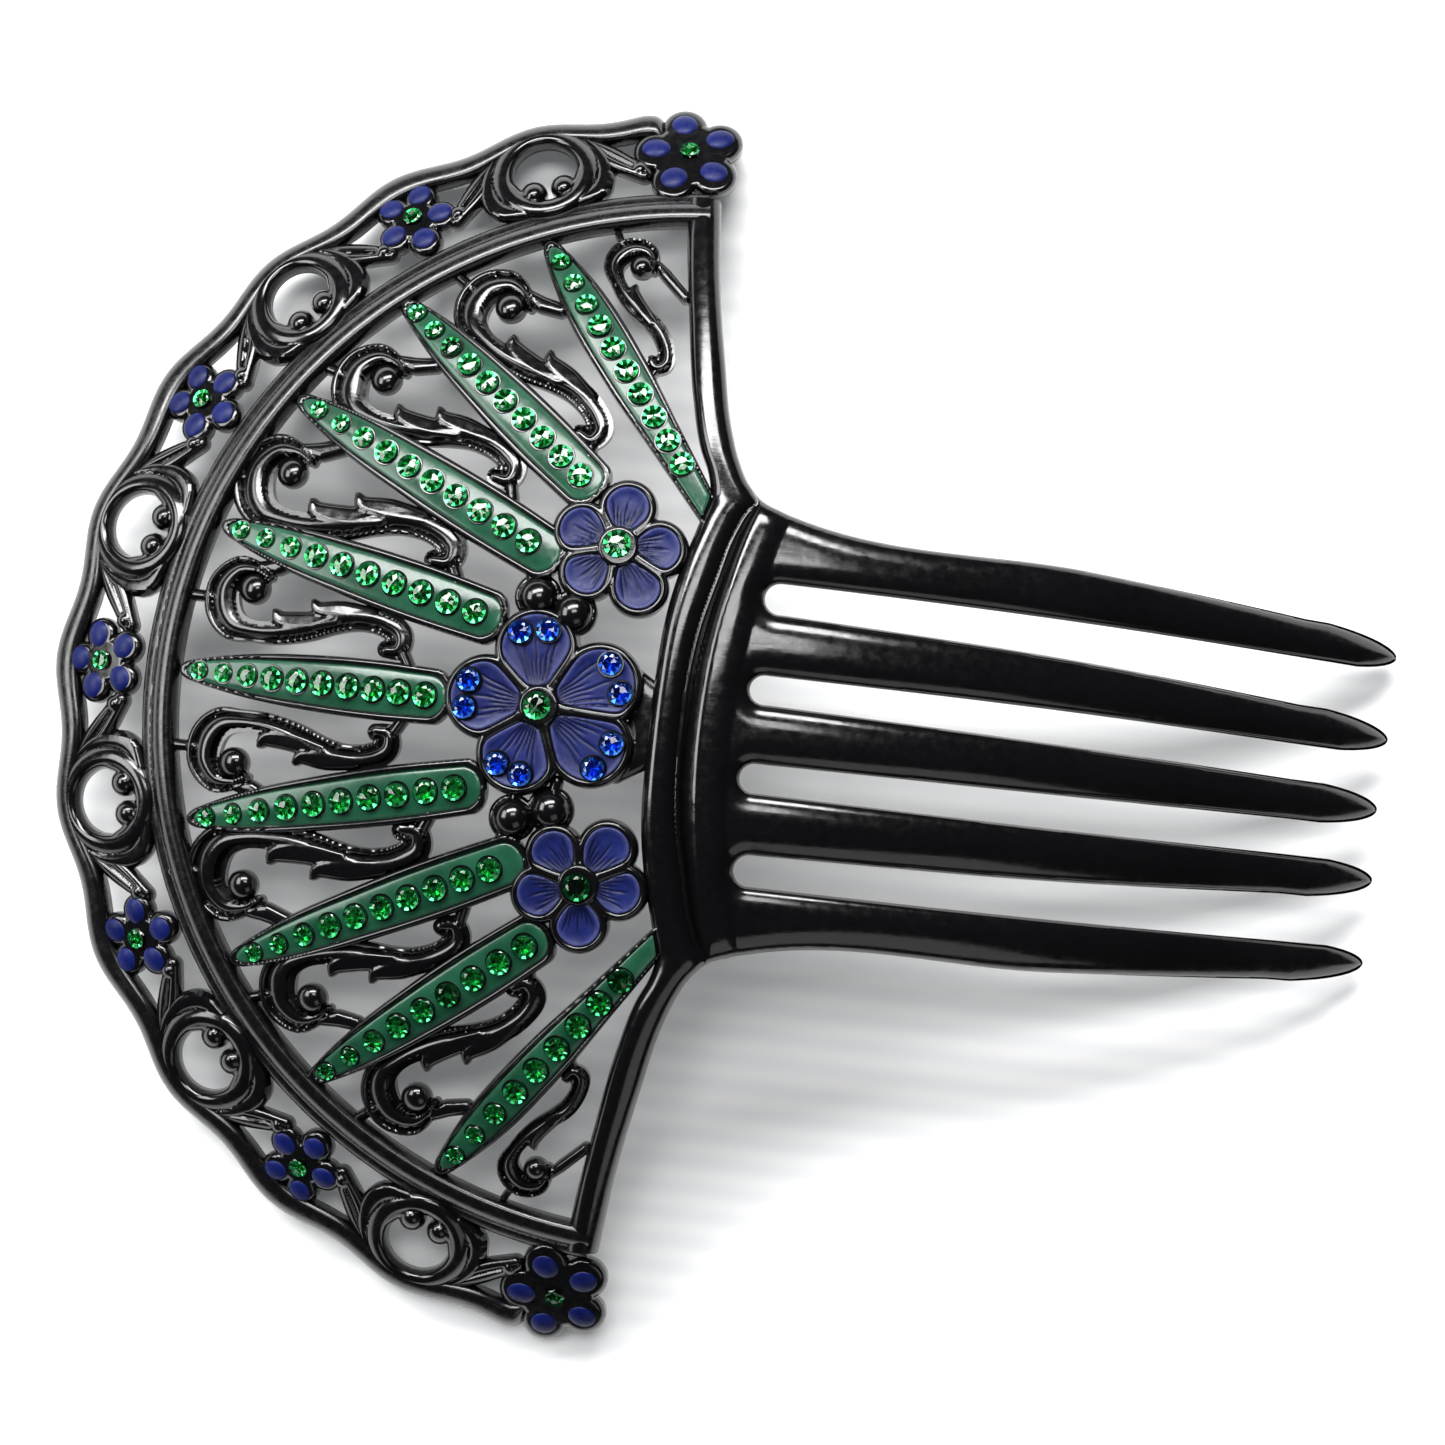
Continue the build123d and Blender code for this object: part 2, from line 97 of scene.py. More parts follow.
# Collar and side rails are one continuous roll: x of its two edges for each distance from the middle.
ROLL_LEFT = ((0.0, -7.0), (4.4, -6.95), (13.1, -6.5), (19.0, -5.45), (25.1, -3.8), (28.6, -3.0),
             (31.5, -3.65), (33.9, -4.75), (40.2, -6.5), (50.4, -8.3), (64.3, -10.3), (68.0, -10.6))
ROLL_RIGHT = ((0.0, -3.0), (4.9, -2.95), (12.1, -2.2), (18.1, -0.8), (24.0, 0.75), (26.6, 1.9), (28.2, 3.0),
              (29.3, 2.4), (30.6, 1.4), (33.4, -0.05), (36.8, -1.25), (45.8, -3.2), (56.2, -5.05),
              (68.0, -6.4))
ROLL_SPLIT = 26.4
ROLL_OVERLAP = 0.4
ROLL_END = 68.0
ARCH_OVERLAP = 1.4      # how far the arch stops short of the roll's right edge

RAY_FOCUS_X = 16.6
RAY_ANGLES = (0.0, 13.1, 26.1, 39.0, 53.4)
RAY_TIPS = (84.2, 83.2, 82.0, 79.7, 74.6)
RAY_BASES = (48.0, 43.6, 40.6, 42.3, 31.0)
RAY_HALF_WIDTHS = (3.4, 3.7, 3.5, 2.5, 1.75, 1.15)      # from the base to the tip
LAST_RAY_HALF_WIDTHS = (1.4, 2.3, 2.9, 2.5, 1.75, 1.15)
RAY_BORDER = 1.0
RAY_FIRST_STONES = (80.9, 79.9, 77.9, 76.4, 70.5)
RAY_LAST_STONES = (51.2, 47.5, 45.5, 45.8, 39.3)

STONE_RADIUS = 1.55
ROW_START_RADII = (1.2, 1.25, 1.4)
CENTRE_STONE_RADIUS = 1.8
BLUE_STONE_RADIUS = 1.5
BORDER_STONE_RADIUS = 1.3
ROW_STONE_LIFT = 0.55
FLOWER_STONE_LIFT = 1.0
BLUE_STONE_LIFT = 0.95
BLUE_STONE_SPREAD = 10.7      # degrees to either side of a petal's own direction
BLUE_STONE_REACH = 2.3
BORDER_LIFT = 0.45
FULL_ROW = 10
SHORT_ROW = 9
FIRST_SHORT_RAY = 8

CENTRE_FLOWER = {"at": (-20.5, 0.3), "heart": 4.5, "lobe": 5.3, "near": 2.5,
                 "petals": ((176.6, 6.7), (99.5, 6.9), (25.5, 7.8), (-31.0, 7.8), (-108.5, 6.2))}
SIDE_FLOWER = {"at": (-13.3, 20.7), "heart": 3.4, "lobe": 3.75, "near": 2.2,
               "petals": ((160.8, 4.9), (83.6, 4.8), (2.5, 4.9), (-57.0, 5.6), (-134.0, 4.8))}
PETAL_BORDER = 1.15
COLLAR_WEB = ((-10.6, 6.0, 1.2), (-7.4, 2.6, 2.3), (-7.3, -3.6, 2.3), (-10.4, -6.8, 1.2))
BEADS = ((-22.4, 13.6), (-17.8, 12.1))
BEAD_RADIUS = 2.38
BEAD_LINKS = (((-24.0, 17.4, 0.8), (-22.4, 13.6, 0.8), (-17.8, 12.1, 0.8), (-15.4, 15.2, 0.8)),
              ((-22.4, 13.6, 0.8), (-22.2, 10.6, 0.8)), ((-17.8, 12.1, 0.8), (-17.4, 8.6, 0.8)))

SCROLL_ENDS = (
    ((-59.2, 11.3), (-41.0, 5.6)),
    ((-56.5, 26.6), (-36.4, 17.4)),
    ((-46.0, 39.8), (-30.0, 28.6)),
    ((-31.3, 50.8), (-20.0, 35.2)),
    ((-15.2, 57.9), (-12.2, 45.3)),
)
SCROLL_LENGTH = 20.0
SCROLL_LINE = ((1.9, 2.1, 0.6), (-0.3, 2.4, 1.0), (-2.7, 1.4, 1.8), (-3.8, -1.4, 2.35), (-2.7, -4.2, 2.5),
               (-0.4, -5.7, 2.1), (2.6, -5.4, 1.5), (6.0, -4.2, 1.55), (9.6, -2.1, 1.65), (12.6, 0.3, 1.75),
               (15.4, 1.9, 1.75), (18.6, 2.6, 1.7), (21.3, 2.2, 1.75), (22.0, 0.5, 1.5), (20.6, -0.3, 1.15))
SCROLL_LEAVES = (((4.6, -1.7, 0.45), (5.8, -2.3, 1.1), (9.0, -1.3, 1.35), (12.6, 0.7, 1.2)),
                 ((9.0, 1.5, 0.45), (10.2, 1.0, 1.0), (13.2, 2.0, 1.3), (17.0, 3.0, 1.0)))
SCROLL_TIES = (((0.2, 2.9, 0.8), (2.2, 3.7, 1.15), (4.2, 5.4, 1.0)),
               ((-4.0, -3.2, 0.7), (-7.5, -4.2, 0.8)),
               ((22.6, 0.4, 0.8), (24.4, -1.2, 0.8)))
LAST_SCROLL_TIES = (((0.2, 2.9, 0.8), (2.6, 4.2, 1.2), (8.2, 7.6, 1.1)),) + SCROLL_TIES[1:]

OUTER_SLOT = {"root": 7.1, "top": (18.6, 18.55, 18.3), "bottom": (14.7, 13.75, 12.2)}
INNER_SLOT = {"root": 6.4, "top": (7.2, 7.3, 7.1), "bottom": (3.6, 3.1, 2.55)}
SLOT_STATIONS = (8.0, 45.0, 75.0)
TINE_TIPS = ((89.0, 20.3, 0.72), (88.6, 9.3, 0.5), (88.0, 0.0, 0.0))   # x, y and drift from the root
TIP_START = 71.0
TINE_HALF_WIDTH = 2.85

# Cell sizes of the reliefs' meshes.
FINE = 0.17
COLLAR_STEP = 0.12
TINE_STEP = 0.28
FLOWER_STEP = 0.14
PETAL_STEP = 0.12
SCROLL_STEP = 0.2
BEAD_STEP = 0.13

# The scene's frame is the plan frame moved to the CAD model's own place.
comb_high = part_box("tine_comb")[1]
SHIFT = Vector((comb_high.x - OUTER_TIP_X * MM, 0.0, comb_high.z - COMB_TOP_LIFT * MM))
FLOOR_Z = cad_box[0][2]


# ---------------------------------------------------------------- the dome
def across_radius(y, lift):
    """Radius of the dome's arc along the tines, at a distance from the middle line."""
    return RADIUS_ALONG - RADIUS_ACROSS + np.sqrt((RADIUS_ACROSS + lift) ** 2 - y * y)


def dome_z(x, y, lift):
    """Height of the dome, raised by lift, over plan points."""
    return np.sqrt(across_radius(y, lift) ** 2 - x * x) - RADIUS_ALONG


def dome_frame(x, y, lift):
    """Place and axes on the dome, with Z along its normal, in plan millimetres."""
    z = float(dome_z(x, y, 0.0))
    reach = float(across_radius(y, 0.0))
    around = math.sqrt(RADIUS_ACROSS ** 2 - y * y) / RADIUS_ACROSS
    normal = Vector((x / reach * around, y / RADIUS_ACROSS, (z + RADIUS_ALONG) / reach * around))
    side = Vector((0, 1, 0)).cross(normal).normalized()
    turn = Matrix((side, normal.cross(side), normal)).transposed()
    return turn.to_4x4(), Vector((x, y, z)) + normal * lift


# ---------------------------------------------------------------- shape helpers on plan arrays
def rounded(distance, width):
    """0 at an edge, rising as a quarter circle to 1 at width inside it."""
    t = 1.0 - np.clip(distance / width, 0.0, 1.0)
    return np.sqrt(1.0 - t * t)


def ridge(place, width, crest, power=2.0):
    """Lopsided rounded section: 0 at both edges and 1 at the crest. A higher power is flatter on top."""
    t = np.where(place < crest, 1.0 - place / crest, (place - crest) / (width - crest))
    return np.sqrt(1.0 - np.clip(t, 0.0, 1.0) ** power)


def blend_least(distances, softness):
    """Least of several distances, with the corners between them rounded."""
    least = np.min(distances, axis=0)
    total = sum(np.exp((least - d) / softness) for d in distances)
    return least - softness * np.log(total)


def away(at, degrees, reach):
    """The point at a distance from another, in a direction."""
    angle = math.radians(degrees)
    return at[0] + reach * math.cos(angle), at[1] + reach * math.sin(angle)


def fan_polar(x, y):
    """Radius and degrees about the fan's centre, from straight away from the tines."""
    return np.hypot(x - FAN_X, y), np.degrees(np.arctan2(y, FAN_X - x))


def fan_point(radius, degrees):
    angle = math.radians(degrees)
    return FAN_X - radius * math.cos(angle), radius * math.sin(angle)


def union(*shapes):
    """Joins (distance, height) shapes: inside if inside any, as high as the highest."""
    distances = np.array([d for d, h in shapes])
    heights = np.array([h for d, h in shapes])
    highest = np.max(np.where(distances > -0.05, heights, -np.inf), axis=0)
    nearest = np.take_along_axis(heights, np.argmax(distances, axis=0)[None], axis=0)[0]
    return np.max(distances, axis=0), np.where(np.isinf(highest), nearest, highest)


def curve_through(points, count):
    """Smooth line through a few points, as evenly stepped samples."""
    p = np.array(points, float)
    p = np.vstack([2 * p[0] - p[1], p, 2 * p[-1] - p[-2]])
    out = []
    for i in range(1, len(p) - 2):
        for t in np.linspace(0.0, 1.0, count, endpoint=False):
            a = 2 * p[i]
            b = p[i + 1] - p[i - 1]
            c = 2 * p[i - 1] - 5 * p[i] + 4 * p[i + 1] - p[i + 2]
            d = 3 * p[i] - p[i - 1] - 3 * p[i + 1] + p[i + 2]
            out.append(0.5 * (a + b * t + c * t * t + d * t ** 3))
    out.append(p[-2])
    return np.array(out)


def smooth_value(x, stations, values):
    """Smooth curve of values over rising stations."""
    s = np.array(stations, float)
    v = np.array(values, float)
    slope = np.gradient(v, s)
    i = np.clip(np.searchsorted(s, x) - 1, 0, len(s) - 2)
    gap = s[i + 1] - s[i]
    t = np.clip((x - s[i]) / gap, 0.0, 1.0)
    start = (1 + 2 * t) * (1 - t) ** 2 * v[i] + t * (1 - t) ** 2 * gap * slope[i]
    end = t * t * (3 - 2 * t) * v[i + 1] + t * t * (t - 1) * gap * slope[i + 1]
    return start + end


def band(x, y, line):
    """Distance inside a band of changing width, and the place across it from -1 to 1."""
    best = np.full(x.shape, 1e9)
    across = np.zeros(x.shape)
    for a, b in zip(line[:-1], line[1:]):
        dx, dy = b[0] - a[0], b[1] - a[1]
        length = dx * dx + dy * dy
        t = np.clip(((x - a[0]) * dx + (y - a[1]) * dy) / length, 0.0, 1.0)
        ex, ey = x - a[0] - t * dx, y - a[1] - t * dy
        gap = np.hypot(ex, ey)
        size = a[2] + t * (b[2] - a[2])
        better = gap - size < best
        best = np.where(better, gap - size, best)
        side = np.sign(dx * ey - dy * ex)
        across = np.where(better, side * gap / size, across)
    return -best, across


# ---------------------------------------------------------------- reliefs
def lattice(field, box, step):
    """Square cells inside an outline: corner points, cells and boundary edges."""
    x0, x1, y0, y1 = box
    xs = np.arange(x0, x1 + step, step)
    ys = np.arange(y0, y1 + step, step)
    xc, yc = np.meshgrid(xs[:-1] + step / 2, ys[:-1] + step / 2)
    keep = field(xc, yc)[0] > 0
    keep[0, :] = keep[-1, :] = False
    keep[:, 0] = keep[:, -1] = False
    # Cells that touch only at a corner get the cell beside them, so that no point is pinched.
    for _ in range(3):
        a, b, c, d = keep[:-1, :-1], keep[:-1, 1:], keep[1:, :-1], keep[1:, 1:]
        first = a & d & ~b & ~c
        second = b & c & ~a & ~d
        keep[:-1, 1:] |= first
        keep[:-1, :-1] |= second
    count = np.zeros((len(ys), len(xs)), int)
    for rows in (slice(0, -1), slice(1, None)):
        for columns in (slice(0, -1), slice(1, None)):
            count[rows, columns] += keep
    used = count > 0
    index = np.cumsum(used).reshape(used.shape) - 1
    px, py = np.meshgrid(xs, ys)
    px, py = px[used], py[used]
    quads = np.stack([index[:-1, :-1], index[:-1, 1:], index[1:, 1:], index[1:, :-1]], -1)[keep]
    below, above = keep & ~np.roll(keep, 1, 0), keep & ~np.roll(keep, -1, 0)
    before, after = keep & ~np.roll(keep, 1, 1), keep & ~np.roll(keep, -1, 1)
    rim = np.vstack([
        np.stack([index[:-1, :-1][below], index[:-1, 1:][below]], -1),
        np.stack([index[:-1, 1:][after], index[1:, 1:][after]], -1),
        np.stack([index[1:, 1:][above], index[1:, :-1][above]], -1),
        np.stack([index[1:, :-1][before], index[:-1, :-1][before]], -1)])
    return px, py, quads, rim


def slope_of(field, x, y):
    """Unit direction in which a field rises fastest, and how fast it rises."""
    e = 0.02
    gx = (field(x + e, y)[0] - field(x - e, y)[0]) / (2 * e)
    gy = (field(x, y + e)[0] - field(x, y - e)[0]) / (2 * e)
    size = np.maximum(np.hypot(gx, gy), 0.3)
    return gx / size, gy / size, size


def snap(field, x, y, step):
    """Moves points onto the outline, along its slope."""
    for _ in range(3):
        d = field(x, y)[0]
        gx, gy, size = slope_of(field, x, y)
        move = np.clip(-d / size, -step, step)
        x = x + gx * move
        y = y + gy * move
    return x, y


def fit_outline(field, px, py, rim, step):
    """Moves a lattice's boundary points onto the outline and evens their spacing."""
    edge = np.unique(rim)
    after = np.zeros(len(px), int)
    before = np.zeros(len(px), int)
    after[rim[:, 0]] = rim[:, 1]
    before[rim[:, 1]] = rim[:, 0]
    px[edge], py[edge] = snap(field, px[edge], py[edge], step)
    for _ in range(2):
        sx = 0.5 * px[edge] + 0.25 * (px[after[edge]] + px[before[edge]])
        sy = 0.5 * py[edge] + 0.25 * (py[after[edge]] + py[before[edge]])
        px[edge], py[edge] = snap(field, sx, sy, step * 0.5)
    return edge


def relax_inside(px, py, quads, edge):
    """Evens the first rows of points inside the outline."""
    near = np.zeros(len(px), bool)
    near[quads[np.isin(quads, edge).any(1)]] = True
    near[edge] = False
    for _ in range(2):
        total = np.zeros((3, len(px)))
        for k in range(4):
            a, b = quads[:, k], quads[:, (k + 1) % 4]
            for one, other in ((a, b), (b, a)):
                np.add.at(total[0], one, px[other])
                np.add.at(total[1], one, py[other])
                np.add.at(total[2], one, 1.0)
        px = np.where(near, total[0] / np.maximum(total[2], 1), px)
        py = np.where(near, total[1] / np.maximum(total[2], 1), py)
    return px, py


def shell_faces(quads, rim, edge, count):
    """Top, walls, bevel and back of a relief. Its points are top, wall foot and back."""
    foot = np.zeros(count, int)
    foot[edge] = np.arange(len(edge)) + count
    base = count + len(edge)
    a, b = rim[:, 0], rim[:, 1]
    walls = np.stack([b, a, foot[a], foot[b]], -1)
    bevels = np.stack([foot[b], foot[a], a + base, b + base], -1)
    return np.vstack([quads, walls, bevels, quads[:, ::-1] + base])


def relief(field, box, step, back=BACK, bevel=BACK_BEVEL):
    """Closed mesh of an outline raised to its height, with a bevelled back along the dome."""
    px, py, quads, rim = lattice(field, box, step)
    edge = fit_outline(field, px, py, rim, step)
    px, py = relax_inside(px, py, quads, edge)
    height = field(px, py)[1]
    low = back(px, py) if callable(back) else np.full(px.shape, back)
    gx, gy, _ = slope_of(field, px[edge], py[edge])
    bx, by = px.copy(), py.copy()
    bx[edge] += gx * bevel
    by[edge] += gy * bevel
    top = np.stack([px, py, dome_z(px, py, height)], -1)
    foot = np.stack([px[edge], py[edge], dome_z(px[edge], py[edge], low[edge] + bevel)], -1)
    bottom = np.stack([bx, by, dome_z(bx, by, low)], -1)
    return np.vstack([top, foot, bottom]), shell_faces(quads, rim, edge, len(px))


def mirrored(part):
    points, faces = part
    return points * np.array([1.0, -1.0, 1.0]), faces[:, ::-1]


def handed(part, side):
    """A part for the left side, or its mirror image for the right side (-1)."""
    return part if side > 0 else mirrored(part)


def both(part):
    return [part, mirrored(part)]


def sides_of(order):
    """The first of a mirrored row stands on the middle line, and the others are pairs."""
    return (1,) if order == 0 else (1, -1)


def joined_mesh(name, parts, sharp):
    """One Blender mesh from several (points, faces) parts in plan millimetres."""
    points = []
    faces = []
    total = 0
    for part_points, part_faces in parts:
        points.append(part_points)
        faces.append(np.asarray(part_faces) + total)
        total += len(part_points)
    points = np.vstack(points) * MM + np.array(SHIFT)
    corners = np.vstack(faces)
    mesh = bpy.data.meshes.new(name)
    mesh.vertices.add(len(points))
    mesh.vertices.foreach_set("co", points.astype(np.float32).ravel())
    mesh.loops.add(corners.size)
    mesh.loops.foreach_set("vertex_index", corners.astype(np.int32).ravel())
    mesh.polygons.add(len(corners))
    mesh.polygons.foreach_set("loop_start", np.arange(0, corners.size, corners.shape[1], dtype=np.int32))
    mesh.update(calc_edges=True)
    mesh.validate()
    mesh.shade_smooth()
    mesh.set_sharp_from_angle(angle=math.radians(sharp))
    return mesh


def build(name, parts, material, nodes=(), sharp=40.0):
    """One object from several closed meshes, riding on the comb's only body."""
    mesh = joined_mesh(name, parts, sharp)
    mesh.materials.append(material)
    piece = bpy.data.objects.new(name, mesh)
    bpy.context.scene.collection.objects.link(piece)
    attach(piece, "root")
    if nodes:
        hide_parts(*nodes)
    return piece


def build_relief(name, parts, material):
    """Object of a part of the moulding."""
    build(name + "_relief", parts, material, [name])


def set_attribute(piece, name, values, domain):
    layer = piece.data.attributes.new(name, "FLOAT", domain)
    layer.data.foreach_set("value", np.asarray(values, np.float32))


def store(piece, name, values):
    """Stores a value for the first points of a mesh, and 0 for the rest."""
    full = np.zeros(len(piece.data.vertices))
    full[:len(values)] = values
    set_attribute(piece, name, full, "POINT")


def wear_and_sheen_from(field, part, reach):
    """Paler enamel that grows towards an outline, for a relief's points: partly rubbed away with use,
    partly a painted sheen where the edges catch the light.
    """
    points = part[0]
    return np.clip(1.0 - field(points[:, 0], points[:, 1])[0] / reach, 0.0, 1.0) ** 1.5


# ---------------------------------------------------------------- the moulding's shapes
def rim_field(x, y):
    r, angle = fan_polar(x, y)
    outer = RIM_OUTER + RIM_WAVE * np.cos(2 * np.pi * angle / BORDER_STEP)
    width = RIM_WIDTH - 0.25 + 0.3 * np.cos(np.pi * angle / BORDER_STEP)
    ends = (RIM_HALF_ANGLE - np.abs(angle)) * r * math.pi / 180
    place = outer - 2.2 * (1.0 - rounded(ends, 3.5)) - r
    d = np.minimum(np.minimum(place, width - place), ends)
    return d, -0.4 + 1.45 * ridge(place, width, 1.6, 2.3) * rounded(ends, 1.5)


def arch_field(x, y):
    r, angle = fan_polar(x, y)
    ends = (ARCH_HALF_ANGLE - np.abs(angle)) * r * math.pi / 180
    rib = np.minimum(np.minimum(r - ARCH_INNER, ARCH_INNER + 3.5 - r), ends)
    rib_height = -0.6 + 1.95 * ridge(r - ARCH_INNER, 3.5, 1.7, 2.3)
    ledge = np.minimum(np.minimum(r - ARCH_INNER - 2.5, ARCH_OUTER - r), ends)
    d, height = union((rib, rib_height), (ledge, -0.2 + 0.42 * rounded(ledge, 1.1)))
    joint = np.clip(roll_edges(np.abs(y))[1] - ARCH_OVERLAP - x, 0.0, 9.0)
    return np.minimum(d, joint), height


def shoulder_edge(x):
    return smooth_value(x, *zip(*SHOULDER))


def roll_edges(side):
    """Both edges of the roll, at a distance from the comb's middle line."""
    return smooth_value(side, *zip(*ROLL_LEFT)), smooth_value(side, *zip(*ROLL_RIGHT))


def roll_field(x, y):
    """The collar and the side rails: one roll, with a sharp crease on the shoulder side."""
    side = np.abs(y)
    left, right = roll_edges(side)
    width = right - left
    lip = 0.65 * np.clip((28.5 - side) / 1.5, 0.0, 1.0)
    d = np.minimum(np.minimum(x - left, right + lip - x), ROLL_END - side)
    height = -0.5 + 1.8 * ridge(x - left, width, 0.45 * width, 2.1)
    crease = -0.15 + 0.7 * np.clip(1.0 - ((x - right) / 0.6) ** 2, 0.0, 1.0)
    crease = np.where(lip > 0.05, crease, -0.5)
    return d, np.where(x > right, crease, np.maximum(height, crease))


def collar_field(x, y):
    d, height = roll_field(x, y)
    return np.minimum(d, ROLL_SPLIT + ROLL_OVERLAP - np.abs(y)), height


def side_rail_field(x, y):
    d, height = roll_field(x, y)
    return np.minimum(d, np.abs(y) - ROLL_SPLIT), height - 0.02


def slot_distance(x, y, slot):
    """Distance inside a slot between two tines, with a round root and no far end."""
    top = smooth_value(x, SLOT_STATIONS, slot["top"])
    bottom = smooth_value(x, SLOT_STATIONS, slot["bottom"])
    middle = 0.5 * (top + bottom)
    half = 0.5 * (top - bottom)
    ahead = half - np.abs(y - middle)
    behind = half - np.hypot(x - slot["root"], y - middle)
    return np.where(x > slot["root"], ahead, behind)


def tine_comb_field(x, y):
    """Shoulder plate and tines: crowned across, thinner and pointed at the tips."""
    side = np.abs(y)
    outer_slot = slot_distance(x, side, OUTER_SLOT)
    inner_slot = slot_distance(x, side, INNER_SLOT)
    r = np.hypot(COLLAR_X - x, y)
    d = np.minimum(shoulder_edge(x) - side, x + 0.8 - roll_edges(side)[1])
    d = np.minimum(d, -np.maximum(outer_slot, inner_slot))
    for tip_x, tip_y, drift in TINE_TIPS:
        t = np.clip((x - TIP_START) / (tip_x - TIP_START), 0.0, 1.0)
        half = TINE_HALF_WIDTH * np.sqrt(1.0 - t ** 2.4)
        middle = tip_y + (1.0 - t) * drift
        mine = (np.abs(side - tip_y) < 5.4) & (x > TIP_START)
        tip = np.where(x > tip_x, tip_x - x, half - np.abs(side - middle))
        d = np.where(mine, np.minimum(d, tip), d)
    fade = np.clip(x / OUTER_TIP_X, 0.0, 1.0)
    crown = 1.45 * (rounded(d, 3.2) - 1.0)
    swell = 0.55 * np.clip(1.0 - ((r - 92.6) / 2.6) ** 2, 0.0, 1.0)
    hollow = -0.5 * np.clip((r - 93.8) / 1.2, 0.0, 1.0)
    return d, 0.35 - 0.9 * fade + crown + swell + hollow


def tine_back(x, y):
    return -2.8 + 0.9 * np.clip(x / OUTER_TIP_X, 0.0, 1.0)


def ray_local(x, y, index):
    """Plan points as distance along a ray and across it, from the rays' focus."""
    angle = math.radians(RAY_ANGLES[index])
    dx, dy = x - RAY_FOCUS_X, y
    return -dx * math.cos(angle) + dy * math.sin(angle), dx * math.sin(angle) + dy * math.cos(angle)


def ray_distance(x, y, index, inset):
    """Spear shape: pointed at the arch, broadest two thirds of the way in."""
    u, v = ray_local(x, y, index)
    tip = RAY_TIPS[index] - 1.3 * inset
    base = RAY_BASES[index] + 0.8 * inset
    length = RAY_TIPS[index] - RAY_BASES[index]
    near_tip = [RAY_TIPS[index] - step for step in (0.5 * length, 7.5, 3.3, 0.8)]
    stations = [RAY_BASES[index], RAY_BASES[index] + 0.3 * length] + near_tip
    widths = LAST_RAY_HALF_WIDTHS if index == len(RAY_ANGLES) - 1 else RAY_HALF_WIDTHS
    half = smooth_value(u, stations, widths)
    half = half - inset * np.clip(0.25 + 0.22 * half, 0.5, 1.0)
    foot = 2.2 if index < len(RAY_ANGLES) - 1 else 0.2
    half = half * np.sqrt(1.0 - np.clip((base + foot - u) / foot, 0.0, 1.0) ** 2)
    half = half * np.sqrt(1.0 - np.clip((u - tip + 1.5) / 1.5, 0.0, 1.0) ** 2)
    return np.minimum(half - np.abs(v), np.minimum(tip - u, u - base)), v


def ray_field(index):
    def field(x, y):
        d = ray_distance(x, y, index, 0.0)[0]
        inner = ray_distance(x, y, index, RAY_BORDER)[0]
        border = 0.85 * rounded(np.minimum(d, -inner), 0.45)
        return d, np.where(inner > 0, 0.0, border)
    return field


def ray_enamel_field(index):
    def field(x, y):
        d, v = ray_distance(x, y, index, RAY_BORDER - 0.1)
        d = np.minimum(d, roll_edges(np.abs(y))[0] - x)
        crown = 0.42 * (1.0 - np.clip(np.abs(v) / 2.8, 0.0, 1.0) ** 2)
        return d, 0.22 + crown + 0.12 * rounded(d, 0.5)
    return field


def lobes(x, y, flower):
    """Distance inside a flower's round lobes and their heart."""
    d = flower["heart"] - np.hypot(x - flower["at"][0], y - flower["at"][1])
    for direction, reach in flower["petals"]:
        px, py = away(flower["at"], direction, reach)
        d = np.maximum(d, flower["lobe"] - np.hypot(x - px, y - py))
    return d


def petal_distance(x, y, flower, number):
    """Broad petal: a round end, and straight sides half-way to the petals beside it."""
    direction, reach = flower["petals"][number]
    count = len(flower["petals"])
    a = math.radians(direction)
    dx, dy = x - flower["at"][0], y - flower["at"][1]
    u, v = dx * math.cos(a) + dy * math.sin(a), -dx * math.sin(a) + dy * math.cos(a)
    edges = [flower["lobe"] - PETAL_BORDER - np.hypot(np.maximum(u - reach, 0.0), v), u - flower["near"]]
    for side, other in ((1, (number - 1) % count), (-1, (number + 1) % count)):
        gap = side * (flower["petals"][other][0] - direction)
        half = math.radians(gap % 360) / 2
        edges.append(u * math.sin(half) - side * v * math.cos(half) - 0.72)
    return blend_least(edges, 0.3), u, v


def flower_field(flower):
    """Mount of a large flower: a raised wall around each petal and a bezel for the middle stone."""
    def field(x, y):
        d = lobes(x, y, flower)
        inner = np.max([petal_distance(x, y, flower, i)[0] for i in range(len(flower["petals"]))], axis=0)
        height = -0.4 + 0.9 * rounded(d, 0.9) + 0.7 * rounded(np.minimum(d, -inner), 0.55)
        height = np.where(inner > 0, 0.5, height)
        r = np.hypot(x - flower["at"][0], y - flower["at"][1])
        bezel = CENTRE_STONE_RADIUS + 0.7
        height = np.where(r < bezel, np.maximum(height, 1.0 + 0.45 * rounded(bezel - r, 0.4)), height)
        if flower is CENTRE_FLOWER:
            web = band(x, y, COLLAR_WEB)[0]
            return union((d, height), (web, -1.2 + 0.8 * rounded(web, 2.2)))
        return d, height
    return field


def vein_mask(u, v, near, far):
    """Seven carved veins that spread from a petal's foot and end at different lengths."""
    mask = np.zeros(u.shape)
    for k in range(-3, 4):
        centre = k * (0.26 + 0.115 * (u - near)) + 0.05 * np.sin(1.7 * u + k)
        end = near + (0.52 + 0.14 * math.cos(2.4 * k)) * (far - near)
        line = np.exp(-((v - centre) / 0.15) ** 2)
        mask = np.maximum(mask, line * np.clip((end - u) / 1.2, 0.0, 1.0))
    return mask


